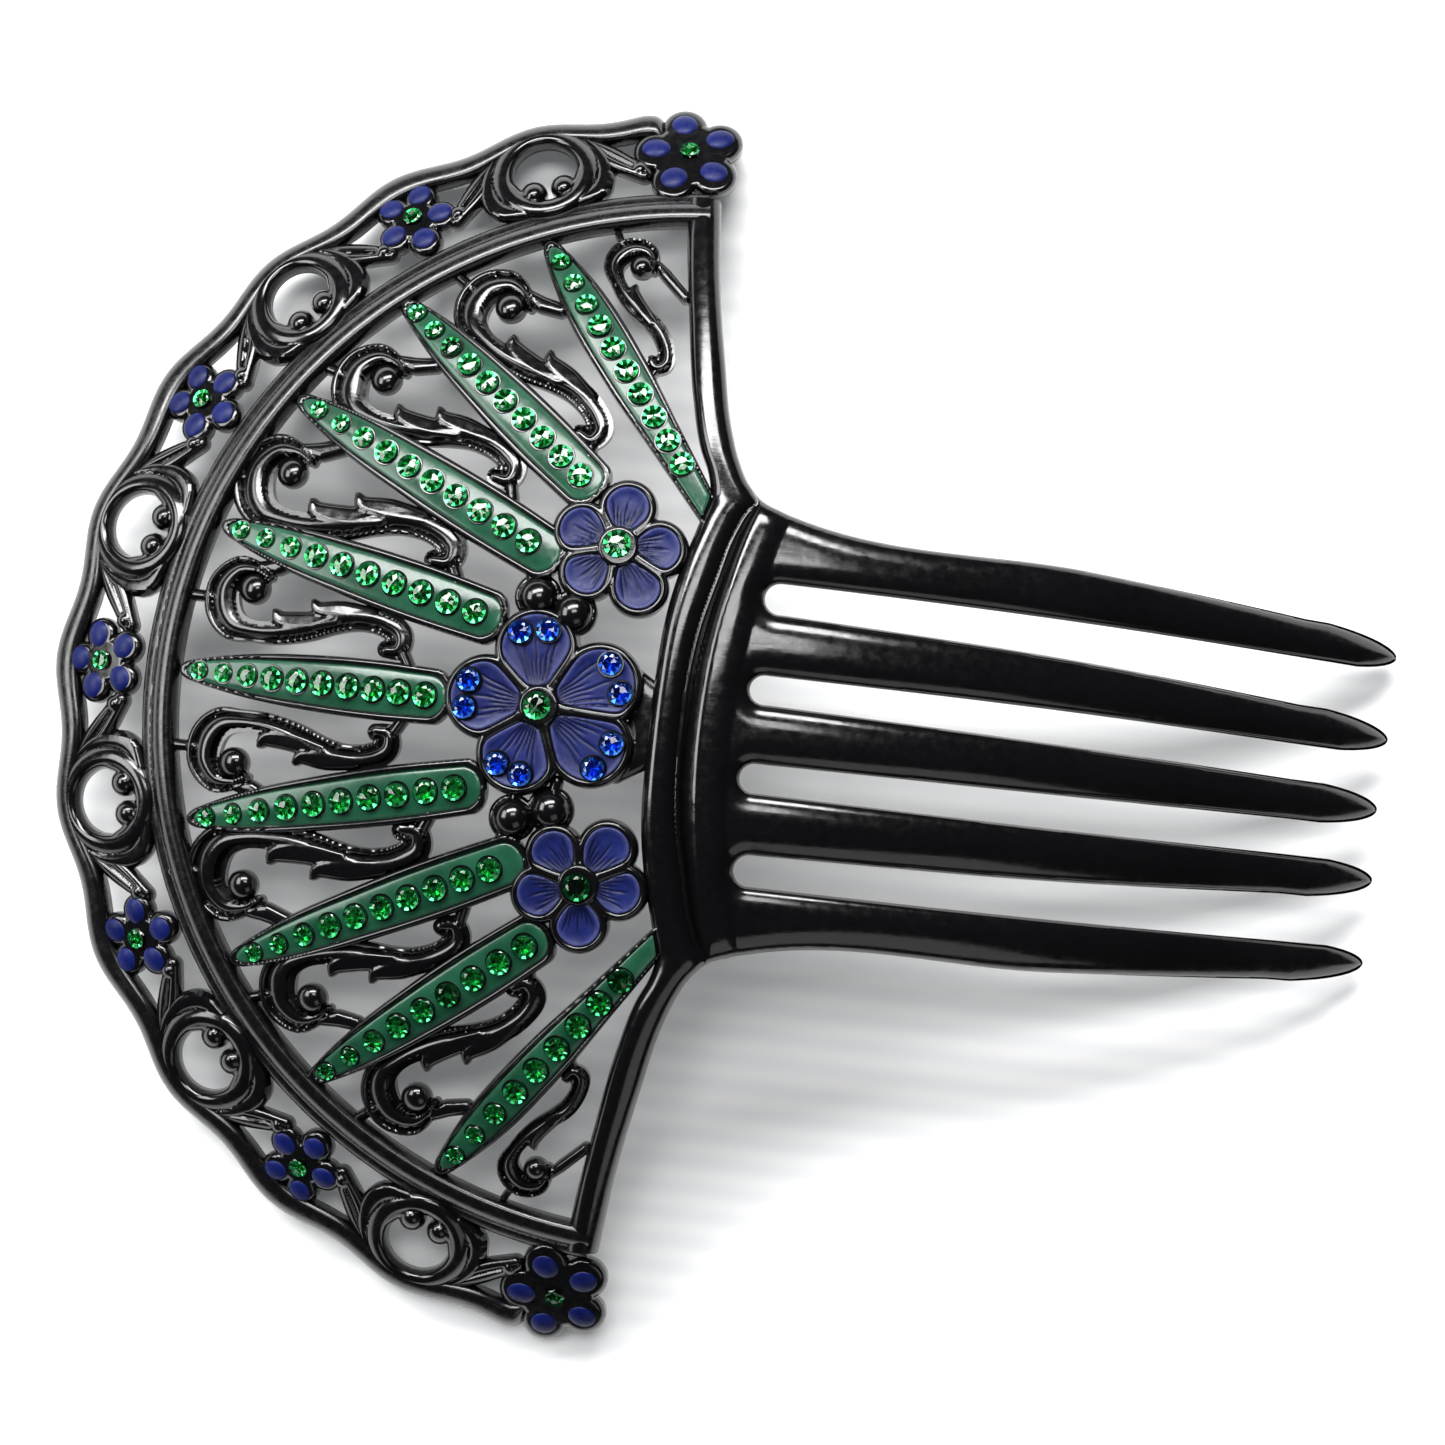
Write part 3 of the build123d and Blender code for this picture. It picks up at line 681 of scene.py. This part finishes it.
def petal_field(flower, number):
    """Enamelled petal: cupped, with veins cut from its foot and a rolled edge."""
    far = flower["petals"][number][1] + flower["lobe"]

    def field(x, y):
        d, u, v = petal_distance(x, y, flower, number)
        d = d + 0.1
        veins = vein_mask(u, v, flower["near"], far)
        cup = 0.9 + 0.42 * np.clip(1.0 - d / 1.7, 0.0, 1.0) ** 2 - 0.3 * np.clip(1.0 - u / far, 0.0, 1.0)
        return d, cup - 0.12 * veins - 0.2 * (1.0 - rounded(d, 0.25))
    return field


def border_flower(degrees):
    """Mount and petal radius of the border flower at an angle."""
    corner = degrees == CORNER_ANGLE
    outward = 180 - degrees
    turn = outward + 10 if corner else outward if degrees == 0 else outward + 180
    shape = CORNER_FLOWER if corner else SMALL_FLOWER
    petals = [(turn + 72 * i, shape["reach"]) for i in range(5)]
    flower = {"at": fan_point(BORDER_RADIUS, degrees), "heart": shape["heart"], "lobe": shape["lobe"],
              "petals": petals}
    return flower, shape["petal"]


def border_flower_field(degrees):
    flower = border_flower(degrees)[0]

    def field(x, y):
        d = lobes(x, y, flower)
        return d, -0.6 + 1.1 * rounded(d, 0.9)
    return field


def ring_field(degrees):
    """Open scroll: a round roll, a crescent on each shoulder and two volutes facing each other."""
    centre = fan_point(BORDER_RADIUS, degrees)
    angle = math.radians(degrees)
    crescent = curve_through(RING_SHOULDER, 4)
    stem_line = curve_through(RING_STEM, 3)

    def field(x, y):
        dx, dy = x - centre[0], y - centre[1]
        inward = dx * math.cos(angle) - dy * math.sin(angle)
        across = dx * math.sin(angle) + dy * math.cos(angle)
        r = np.hypot(inward, across)
        place = r - RING_INNER
        parts = [(np.minimum(place, RING_ROLL - place), -0.7 + 1.7 * ridge(place, RING_ROLL, 1.3))]
        for side in (-1, 1):
            shoulder = band(inward, side * across, crescent)[0]
            parts.append((shoulder, -0.5 + 1.15 * rounded(shoulder, 1.1)))
            stem = band(inward, side * across, stem_line)[0]
            parts.append((stem, -0.5 + 1.3 * rounded(stem, 1.0)))
            knob = 1.75 - np.hypot(inward - 2.8, across - side * 2.0)
            parts.append((knob, -0.6 + 2.0 * rounded(knob, 1.75)))
        d, height = union(*parts)
        return np.minimum(d, RIM_OUTER - 0.6 - fan_polar(x, y)[0]), height
    return field


def leaf_field(ring_degrees, side):
    """Pointed leaf from a ring's shoulder to a small curl by the flower, with raised edges."""
    ax, ay = fan_point(78.9, ring_degrees + side * 4.2)
    bx, by = fan_point(72.6, ring_degrees + side * 10.0)
    kx, ky = fan_point(73.4, ring_degrees + side * 9.6)
    mx, my = fan_point(75.2, ring_degrees + side * 7.2)
    shoulder = (0.5 * (ax + mx), 0.5 * (ay + my), 1.5)
    line = curve_through(((ax, ay, 1.0), shoulder, (mx, my, 1.65), (bx, by, 1.2)), 6)

    def field(x, y):
        d, across = band(x, y, line)
        rib = 0.35 * np.clip(1.0 - np.abs(across) / 0.25, 0.0, 1.0)
        blade = -0.6 + 1.15 * rounded(d, 1.1) - rib
        knob = 1.15 - np.hypot(x - kx, y - ky)
        return union((d, blade), (knob, -0.4 + 1.3 * rounded(knob, 1.15)))
    return field


def scroll_local(index):
    """Place, direction and scale of a scroll."""
    (bx, by), (sx, sy) = SCROLL_ENDS[index]
    length = math.hypot(sx - bx, sy - by)
    return bx, by, (sx - bx) / length, (sy - by) / length, length / SCROLL_LENGTH


def scroll_field(index):
    """Leafy S-scroll: a round body in a thin outer lip, two leaves, a ball and ties to its neighbours."""
    bx, by, cos, sin, scale = scroll_local(index)
    line = curve_through(SCROLL_LINE, 5)
    last = index == len(SCROLL_ENDS) - 1
    leaves = [curve_through(leaf, 4) for leaf in (SCROLL_LEAVES[:1] if last else SCROLL_LEAVES)]
    ties = LAST_SCROLL_TIES if last else SCROLL_TIES
    ball = 1.6 if last else 2.0

    def field(x, y):
        dx, dy = x - bx, y - by
        u = (dx * cos + dy * sin) / scale
        v = (-dx * sin + dy * cos) / scale
        d, across = band(u, v, line)
        body = -0.7 + 1.45 * ridge(1.0 - across, 1.55, 0.85, 1.7)
        lip = -0.3 + 0.8 * ridge(1.0 + across, 0.46, 0.22)
        parts = [(d, np.maximum(np.where(across < 0.55, body, -0.7), lip))]
        for leaf in leaves:
            d, across = band(u, v, leaf)
            parts.append((d, -0.3 + 0.95 * rounded(d, 0.7) - 0.25 * across))
        for tie in ties:
            d = band(u, v, tie)[0]
            parts.append((d, -0.6 + 1.0 * rounded(d, 0.9)))
        knob = ball - np.hypot(u - 0.4, v + 0.15) * scale
        parts.append((knob / scale, -0.6 + 1.9 * rounded(knob, ball)))
        return union(*parts)
    return field


def beads_field(x, y):
    """Two polished beads, joined to each other and to the flowers by low links."""
    parts = []
    for link in BEAD_LINKS:
        d = band(x, y, link)[0]
        parts.append((d, -0.8 + 0.8 * rounded(d, 0.8)))
    for point in BEADS:
        seat = BEAD_RADIUS + 0.55 - np.hypot(x - point[0], y - point[1])
        parts.append((seat, -0.9 + 0.5 * rounded(seat, 0.5)))
        d = BEAD_RADIUS - np.hypot(x - point[0], y - point[1])
        parts.append((d, -0.4 + 2.5 * rounded(d, BEAD_RADIUS)))
    return union(*parts)


# ---------------------------------------------------------------- materials
class Nodes:
    """Short way to write a material's node tree."""

    def __init__(self, name):
        self.material = bpy.data.materials.new(name)
        self.material.use_nodes = True
        self.tree = self.material.node_tree
        self.shader = self.tree.nodes["Principled BSDF"]
        self.place = self.add("ShaderNodeTexCoord").outputs["Object"]

    def add(self, kind, **values):
        node = self.tree.nodes.new(kind)
        for key, value in values.items():
            setattr(node, key, value)
        return node

    def join(self, output, target):
        self.tree.links.new(output, target)

    def noise(self, scale, detail=3.0, roughness=0.5, stretch=None):
        node = self.add("ShaderNodeTexNoise")
        node.inputs["Scale"].default_value = scale
        node.inputs["Detail"].default_value = detail
        node.inputs["Roughness"].default_value = roughness
        source = self.place
        if stretch:
            mapping = self.add("ShaderNodeMapping")
            mapping.inputs["Scale"].default_value = stretch
            mapping.inputs["Rotation"].default_value = (0.0, 0.0, 0.4)
            self.join(source, mapping.inputs["Vector"])
            source = mapping.outputs["Vector"]
        self.join(source, node.inputs["Vector"])
        return node.outputs["Fac"]

    def spread(self, value, low, high, start=0.0, end=1.0):
        node = self.add("ShaderNodeMapRange")
        node.inputs["From Min"].default_value = start
        node.inputs["From Max"].default_value = end
        node.inputs["To Min"].default_value = low
        node.inputs["To Max"].default_value = high
        self.join(value, node.inputs["Value"])
        return node.outputs["Result"]

    def mix(self, factor, first, second):
        node = self.add("ShaderNodeMix", data_type="RGBA")
        self.join(factor, node.inputs["Factor"])
        for socket, value in ((node.inputs[6], first), (node.inputs[7], second)):
            if isinstance(value, tuple):
                socket.default_value = value + (1.0,)
            else:
                self.join(value, socket)
        return node.outputs[2]

    def bump(self, height, distance, strength=1.0, after=None):
        node = self.add("ShaderNodeBump")
        node.inputs["Distance"].default_value = distance
        node.inputs["Strength"].default_value = strength
        self.join(height, node.inputs["Height"])
        if after:
            self.join(after, node.inputs["Normal"])
        return node.outputs["Normal"]

    def set(self, **values):
        """Sets inputs of the shader, each from a socket or to a plain value."""
        for key, value in values.items():
            socket = self.shader.inputs[key.replace("_", " ")]
            if hasattr(value, "is_linked"):
                self.join(value, socket)
            else:
                socket.default_value = value


def celluloid(name, polished, dulled):
    """Black moulding: polished, with cloudy scuffed patches and fine scratches."""
    n = Nodes(name)
    cloud = n.noise(90.0, 4.0)
    fine = n.noise(900.0, 5.0, 0.65)
    scratch = n.noise(420.0, 2.0, 0.5, (0.6, 9.0, 1.0))
    n.set(Base_Color=n.mix(cloud, (0.0012, 0.0012, 0.0015), (0.003, 0.003, 0.0035)))
    n.set(Roughness=n.spread(fine, polished, dulled, 0.3, 0.75))
    low = n.bump(cloud, 0.00022, 0.5)
    n.set(Normal=n.bump(scratch, 0.000015, 0.35, low))
    n.set(IOR=1.54)
    return n.material


def enamel(name, deep, light, rub_and_sheen, rub_and_sheen_amount, roughness, gloss):
    """Enamel colour with clouding, made paler where the relief stands up, partly rubbed with use and partly
    a painted sheen of light, and dark in its veins.
    """
    n = Nodes(name)
    cloud = n.noise(220.0, 3.0)
    grain = n.noise(1500.0, 4.0, 0.6)
    colour = n.mix(n.spread(cloud, 0.0, 1.0, 0.35, 0.65), deep, light)
    edge_wear_and_sheen = n.add("ShaderNodeAttribute", attribute_name="wear_and_sheen").outputs["Fac"]
    patch = n.add("ShaderNodeMath", operation="MULTIPLY")
    n.join(edge_wear_and_sheen, patch.inputs[0])
    n.join(n.spread(grain, 0.45, 1.25, 0.3, 0.6), patch.inputs[1])
    amount = n.spread(patch.outputs["Value"], 0.0, rub_and_sheen_amount, 0.0, 1.0)
    vein = n.add("ShaderNodeAttribute", attribute_name="vein").outputs["Fac"]
    # Painted sheen as well as rubbing: the colour turns paler towards the outlines, partly standing in for
    # light on the raised edges.
    coloured = n.mix(amount, colour, rub_and_sheen)
    n.set(Base_Color=n.mix(n.spread(vein, 0.0, 0.8), coloured, tuple(0.12 * c for c in deep)))
    n.set(Roughness=n.spread(grain, roughness * 0.8, roughness * 1.4, 0.3, 0.7))
    n.set(Normal=n.bump(cloud, 0.00012, 0.5, n.bump(grain, 0.00001, 0.4)))
    n.set(Specular_IOR_Level=gloss)
    return n.material


def foil(name, dark, bright):
    """Mirror foil behind a stone, each face painted a random brightness between dark and bright: painted
    glints that stand in for the faces catching the light unevenly.
    """
    n = Nodes(name)
    facet_glint = n.add("ShaderNodeAttribute", attribute_name="facet_glint").outputs["Fac"]
    n.set(Base_Color=n.mix(facet_glint, dark, bright), Metallic=0.9)
    n.set(Roughness=n.spread(n.noise(2500.0), 0.12, 0.3))
    return n.material


def gem(name, tint):
    """Clear tinted glass of a stone's crown."""
    n = Nodes(name)
    n.set(Base_Color=n.mix(n.noise(600.0), tint, tuple(min(1.0, 1.12 * c) for c in tint)))
    n.set(Transmission_Weight=1.0, Specular_IOR_Level=0.12, IOR=1.52)
    n.set(Roughness=n.spread(n.noise(1800.0), 0.0, 0.06))
    return n.material


def table_top():
    """White corrugated board: faint bands, and a little painted light of its own, a glow that stands in for
    light from the room around it and lightens the shadows under the comb.
    """
    n = Nodes("pale_table")
    waves = n.add("ShaderNodeTexWave", wave_type="BANDS", bands_direction="Y")
    waves.inputs["Scale"].default_value = 88.0
    waves.inputs["Distortion"].default_value = 0.3
    n.join(n.place, waves.inputs["Vector"])
    n.set(Base_Color=n.mix(waves.outputs["Fac"], (0.77, 0.775, 0.78), (0.83, 0.832, 0.835)))
    n.set(Roughness=n.spread(n.noise(300.0), 0.5, 0.65))
    # Painted light: the board glows, lifting the shadows that the comb casts on it.
    n.set(Emission_Color=(0.95, 0.98, 1.0, 1.0), Emission_Strength=0.10)
    return n.material


# ---------------------------------------------------------------- stones
def oval(along, across, z, sides, turn=0.0):
    """Points of a flat oval about Z, turned by a part of a step."""
    angles = [2 * math.pi * (i + turn) / sides for i in range(sides)]
    return [(along * math.cos(a), across * math.sin(a), z) for a in angles]


def crown_mesh(radius):
    """Closed glass crown of one faceted stone, about its own axis, Z up."""
    sides = 8
    rings = ((1.0, 0.0, 0.5), (1.0, 0.12, 0.5), (0.80, 0.30, 0.0), (0.58, 0.42, 0.5))
    points = []
    for size, high, turn in rings:
        points += oval(radius * size, radius * size, radius * high, sides, turn)
    faces = []
    for k in range(len(rings) - 1):
        for i in range(sides):
            a, b = k * sides + i, k * sides + (i + 1) % sides
            faces += [(a, b, b + sides), (a, b + sides, a + sides)]
    top = len(points)
    points += [(0.0, 0.0, radius * 0.50), (0.0, 0.0, 0.0)]
    for i in range(sides):
        faces.append((top - sides + i, top - sides + (i + 1) % sides, top))
        faces.append(((i + 1) % sides, i, top + 1))
    return np.array(points), np.array(faces)


def foil_mesh(radius):
    """Star of facets under the glass, falling to a point."""
    sides = 16
    inner, outer = 0.52 * radius, 0.97 * radius
    points = [(0.0, 0.0, -0.30 * radius)]
    for i, (x, y, _) in enumerate(oval(inner, inner, 0.0, sides)):
        points.append((x, y, (-0.02 if i % 2 else -0.2) * radius))
    points += oval(outer, outer, 0.06 * radius, sides, 0.5)
    faces = []
    for i in range(sides):
        a, b = 1 + i, 1 + (i + 1) % sides
        c = a + sides
        before = 1 + sides + (i - 1) % sides
        faces += [(0, a, b), (a, c, b), (before, c, a)]
    return np.array(points), np.array(faces)


def placed(mesh, spot, turn):
    """A small mesh turned about its axis and set on the dome at (x, y, lift)."""
    points, faces = mesh
    axes, origin = dome_frame(*spot)
    matrix = np.array(Matrix.Translation(origin) @ axes @ Matrix.Rotation(turn, 4, "Z"))
    return points @ matrix[:3, :3].T + matrix[:3, 3], faces


def stones(name, spots, glass, back, nodes, seed):
    """Faceted stones at (x, y, lift, radius), glass and foil in two objects. A few stones are dull."""
    random = np.random.default_rng(seed)
    turns = random.uniform(0.0, math.pi / 4, len(spots))
    shells = []
    cups = []
    for spot, turn in zip(spots, turns):
        shells.append(placed(crown_mesh(spot[3]), spot[:3], turn))
        cups.append(placed(foil_mesh(spot[3] * 0.98), (spot[0], spot[1], spot[2] + 0.36 * spot[3]), turn))
    build(name, shells, glass, nodes, 1.0)
    cup = build(name + "_foil", cups, back, (), 1.0)
    # Painted glints: a random brightness for each face of the foil; the dull stones get almost none.
    shade = random.uniform(0.0, 1.0, len(cup.data.polygons)) ** 1.4
    dull = np.repeat(random.uniform(0.0, 1.0, len(spots)) < 0.06, len(cup.data.polygons) // len(spots))
    set_attribute(cup, "facet_glint", np.where(dull, 0.1 * shade, shade), "FACE")


def row_spots(index, side, count):
    """Stones of one ray, from the arch inwards."""
    angle = math.radians(RAY_ANGLES[index])
    radii = list(ROW_START_RADII) + [STONE_RADIUS] * (count - len(ROW_START_RADII))
    spots = []
    for reach, radius in zip(np.linspace(RAY_FIRST_STONES[index], RAY_LAST_STONES[index], count), radii):
        x, y = RAY_FOCUS_X - reach * math.cos(angle), side * reach * math.sin(angle)
        spots.append((x, y, ROW_STONE_LIFT, radius))
    return spots


def seats(name, spots, material):
    """Thin raised ring of setting around each stone."""
    sides, tube = 28, 6
    rings = []
    for spot in spots:
        points = []
        for i in range(sides):
            a = 2 * math.pi * i / sides
            for k in range(tube):
                b = 2 * math.pi * k / tube
                r = spot[3] * 1.04 + 0.14 * math.cos(b)
                points.append((r * math.cos(a), r * math.sin(a), 0.14 * math.sin(b)))
        faces = []
        for i in range(sides):
            for k in range(tube):
                a, b = i * tube + k, i * tube + (k + 1) % tube
                c, d = ((i + 1) % sides) * tube + k, ((i + 1) % sides) * tube + (k + 1) % tube
                faces.append((a, c, d, b))
        rings.append(placed((np.array(points), np.array(faces)), (spot[0], spot[1], spot[2] + 0.12), 0.0))
    build(name, rings, material)


# ---------------------------------------------------------------- building the comb
black = celluloid("black_celluloid", 0.09, 0.24)
worn_black = celluloid("worn_black_celluloid", 0.16, 0.34)
green = enamel("green_enamel", (0.005, 0.036, 0.018), (0.010, 0.060, 0.032), (0.05, 0.12, 0.08),
               0.3, 0.17, 0.36)
violet = enamel("violet_enamel", (0.004, 0.007, 0.052), (0.008, 0.013, 0.082), (0.07, 0.08, 0.19),
                0.5, 0.34, 0.16)
blue = enamel("blue_enamel", (0.001, 0.003, 0.042), (0.002, 0.006, 0.07), (0.010, 0.018, 0.11),
              0.4, 0.36, 0.14)
green_foil = foil("emerald_foil", (0.002, 0.06, 0.015), (0.06, 0.62, 0.20))
blue_foil = foil("sapphire_foil", (0.002, 0.015, 0.16), (0.05, 0.22, 0.80))
green_glass = gem("emerald_glass", (0.30, 0.88, 0.45))
blue_glass = gem("sapphire_glass", (0.28, 0.50, 1.0))


def build_rails():
    """Tines, collar and the rails around the fan."""
    build_relief("scalloped_rim", [relief(rim_field, (-88, 12, -84, 84), FINE)], worn_black)
    build_relief("arch_rail", [relief(arch_field, (-74, 4, -71, 71), FINE)], worn_black)
    build_relief("collar_rail", [relief(collar_field, (-8, 6, -28, 28), COLLAR_STEP)], black)
    tines = relief(tine_comb_field, (-4, 90, -36, 36), TINE_STEP, tine_back, 0.6)
    build_relief("tine_comb", [tines], black)
    rail = relief(side_rail_field, (-12, 11, 24, 68), FINE)
    build_relief("side_rail_left", [rail], black)
    build_relief("side_rail_right", [mirrored(rail)], black)


def square(centre, size):
    """Box of a relief around a point."""
    return centre[0] - size, centre[0] + size, centre[1] - size, centre[1] + size


def build_border():
    """Rings of the border, with a leaf on either side of each."""
    rings = []
    leaves = []
    for degrees in RING_ANGLES:
        rings += both(relief(ring_field(degrees), square(fan_point(BORDER_RADIUS, degrees), 8.5), FINE))
        for side in (-1, 1):
            middle = fan_point(BORDER_RADIUS, degrees + side * 7.5)
            leaves += both(relief(leaf_field(degrees, side), square(middle, 8), FINE))
    build_relief("border_rings", rings, black)
    build_relief("border_leaves", leaves, black)


def build_scrolls():
    scrolls = []
    for index, ((ax, ay), (bx, by)) in enumerate(SCROLL_ENDS):
        box = (min(ax, bx) - 11, max(ax, bx) + 9, min(ay, by) - 11, max(ay, by) + 9)
        scrolls += both(relief(scroll_field(index), box, SCROLL_STEP))
    build_relief("scrolls", scrolls, black)


def dome_petal(centre, radius, lift, turn):
    """Low oval dome of enamel, slightly longer along its petal."""
    rings, sides = PETAL_RINGS, PETAL_SIDES
    points = []
    for k in range(rings):
        t = k / (rings - 1)
        r = radius * math.sin(0.5 * math.pi * (1 - t) ** 0.8) if k < rings - 1 else 0.02
        points += oval(1.05 * r, 0.95 * r, 0.3 * radius * (1 - (r / radius) ** 2) ** 0.6, sides)
    points += oval(1.05 * radius, 0.95 * radius, -0.35, sides)
    faces = []
    foot = rings * sides
    for i in range(sides):
        after = (i + 1) % sides
        for k in range(0, foot - sides, sides):
            faces.append((k + i, k + after, k + after + sides, k + i + sides))
        faces.append((foot + i, foot + after, after, i))
    return placed((np.array(points), np.array(faces)), (centre[0], centre[1], lift), turn)


def build_border_flowers():
    """Seven flowers, numbered from the right end of the border to the left."""
    for order, degrees in enumerate(FLOWER_ANGLES):
        flower, petal = border_flower(degrees)
        mount = relief(border_flower_field(degrees), square(flower["at"], 8.5), FINE)
        petals = []
        for direction, reach in flower["petals"]:
            spot = away(flower["at"], direction, reach)
            petals.append(dome_petal(spot, petal, BORDER_LIFT, math.radians(direction)))
        for side in sides_of(order):
            number = 4 + side * order
            domes = [handed(p, side) for p in petals]
            build_relief(f"border_flower_{number}", [handed(mount, side)], black)
            name = f"border_petals_{number}"
            piece = build(f"{name}_enamel", domes, blue, [name])
            # Painted sheen as well as rubbing: each dome turns paler towards its rim, where light catches
            # it.
            edge_wear_and_sheen = np.repeat(np.linspace(0.45, 0.0, PETAL_RINGS + 1), PETAL_SIDES)
            store(piece, "wear_and_sheen", np.tile(edge_wear_and_sheen, len(petals)))


def large_petals(flower, box):
    """Petals of a large flower, and the rubbed paling with painted sheen and the veins at their points."""
    petals = []
    edge_wear_and_sheen = []
    veins = []
    for number, (direction, reach) in enumerate(flower["petals"]):
        field = petal_field(flower, number)
        part = relief(field, box, PETAL_STEP, 0.4, 0.0)
        petals.append(part)
        edge_wear_and_sheen.append(wear_and_sheen_from(field, part, 0.7))
        _, u, v = petal_distance(part[0][:, 0], part[0][:, 1], flower, number)
        veins.append(vein_mask(u, v, flower["near"], reach + flower["lobe"]))
    return petals, np.concatenate(edge_wear_and_sheen), np.concatenate(veins)


def build_large_flower(flower, names):
    """A large flower's mount and petals, once for each side that is named."""
    box = square(flower["at"], 14.5)
    mount = relief(flower_field(flower), box, FLOWER_STEP)
    petals, edge_wear_and_sheen, veins = large_petals(flower, box)
    for name, side in names:
        build_relief(name, [handed(mount, side)], black)
        piece = build(f"{name}_petals", [handed(p, side) for p in petals], violet, [f"{name}_enamel"])
        store(piece, "wear_and_sheen", edge_wear_and_sheen)
        store(piece, "vein", veins)


def build_rays():
    """Nine rays with their enamel and stones, numbered from the right side to the left."""
    for index in range(len(RAY_ANGLES)):
        angle = math.radians(RAY_ANGLES[index])
        tip, base = RAY_TIPS[index], RAY_BASES[index]
        box = (RAY_FOCUS_X - tip * math.cos(angle) - 5, RAY_FOCUS_X - base * math.cos(angle) + 5,
               base * math.sin(angle) - 5, tip * math.sin(angle) + 5)
        mount = relief(ray_field(index), box, FINE)
        field = ray_enamel_field(index)
        fill = relief(field, box, FINE, -0.2, 0.0)
        # Painted sheen as well as rubbing: the green turns paler towards its outline.
        edge_wear_and_sheen = wear_and_sheen_from(field, fill, 1.0)
        for side in sides_of(index):
            number = 5 - side * index
            name = f"ray_{number}"
            build_relief(name, [handed(mount, side)], black)
            piece = build(f"{name}_enamel_fill", [handed(fill, side)], green, [f"{name}_enamel"])
            store(piece, "wear_and_sheen", edge_wear_and_sheen)
            spots = row_spots(index, side, SHORT_ROW if number >= FIRST_SHORT_RAY else FULL_ROW)
            stones(f"{name}_gems", spots, green_glass, green_foil, [f"{name}_stones"], number)
            seats(f"{name}_settings", spots, black)


def build_flower_stones():
    """A green stone in each flower, and two blue stones on each petal of the centre flower."""
    centres = [CENTRE_FLOWER["at"] + (FLOWER_STONE_LIFT, CENTRE_STONE_RADIUS)]
    for side in (1, -1):
        sx, sy = SIDE_FLOWER["at"]
        centres.append((sx, side * sy, FLOWER_STONE_LIFT, CENTRE_STONE_RADIUS))
    for order, degrees in enumerate(FLOWER_ANGLES):
        px, py = fan_point(BORDER_RADIUS, degrees)
        for side in sides_of(order):
            centres.append((px, side * py, BORDER_LIFT, BORDER_STONE_RADIUS))
    stones("flower_centre_gems", centres, green_glass, green_foil, ["flower_centre_stones"], 20)
    blues = []
    for direction, reach in CENTRE_FLOWER["petals"]:
        for spread in (-BLUE_STONE_SPREAD, BLUE_STONE_SPREAD):
            spot = away(CENTRE_FLOWER["at"], direction + spread, reach + BLUE_STONE_REACH)
            blues.append(spot + (BLUE_STONE_LIFT, BLUE_STONE_RADIUS))
    stones("blue_gems", blues, blue_glass, blue_foil, ["blue_stones"], 30)
    seats("blue_settings", blues, black)


build_rails()
build_border()
build_border_flowers()
build_large_flower(CENTRE_FLOWER, (("centre_flower", 1),))
build_large_flower(SIDE_FLOWER, (("side_flower_left", 1), ("side_flower_right", -1)))
build_rays()
build_scrolls()
build_relief("beads", both(relief(beads_field, (-27, -12, 6, 20), BEAD_STEP)), black)
build_flower_stones()


# ---------------------------------------------------------------- table, light and camera
def flat_square(name, size, z, material):
    mesh = bpy.data.meshes.new(name)
    half = size / 2
    corners = [(-half, -half, z), (half, -half, z), (half, half, z), (-half, half, z)]
    mesh.from_pydata(corners, [], [(0, 1, 2, 3)])
    mesh.materials.append(material)
    piece = bpy.data.objects.new(name, mesh)
    bpy.context.scene.collection.objects.link(piece)
    return piece


flat_square("table", 6.0, FLOOR_Z, table_top())


def area_light(name, place, target, size, power):
    """Rectangular lamp that faces a point."""
    light = bpy.data.lights.new(name, "AREA")
    light.shape = "RECTANGLE"
    light.size, light.size_y = size
    light.energy = power
    lamp = bpy.data.objects.new(name, light)
    lamp.location = place
    direction = Vector(target) - Vector(place)
    lamp.rotation_euler = direction.to_track_quat("-Z", "Y").to_euler()
    bpy.context.scene.collection.objects.link(lamp)


def lights():
    """A bright window above the fan's left side, weaker lamps around it and a dim room."""
    middle = (0.0, 0.0, 0.015)
    area_light("window", (-0.22, 0.60, 0.64), middle, (0.95, 0.26), 19.0)
    area_light("side_panel", (-0.80, 0.10, 0.50), middle, (0.6, 0.35), 6.0)
    area_light("ceiling", (-0.06, 0.30, 1.00), middle, (0.5, 0.26), 4.5)
    area_light("fill", (0.35, -0.80, 0.60), middle, (0.6, 0.6), 1.0)
    world = bpy.data.worlds.new("soft_room")
    world.use_nodes = True
    world.node_tree.nodes["Background"].inputs["Color"].default_value = (0.85, 0.88, 0.95, 1.0)
    world.node_tree.nodes["Background"].inputs["Strength"].default_value = 0.03
    bpy.context.scene.world = world


def camera():
    """Straight above the comb, tilted and turned a little."""
    lens = bpy.data.cameras.new("camera")
    lens.sensor_width = 36.0
    lens.lens = 59.8
    eye = bpy.data.objects.new("camera", lens)
    eye.location = Vector((5.75, -5.39, 289.67)) * MM + SHIFT
    eye.rotation_euler = [math.radians(angle) for angle in (1.321, 0.631, 6.679)]
    bpy.context.scene.collection.objects.link(eye)
    bpy.context.scene.camera = eye


lights()
camera()
bpy.context.scene.view_settings.view_transform = "Standard"
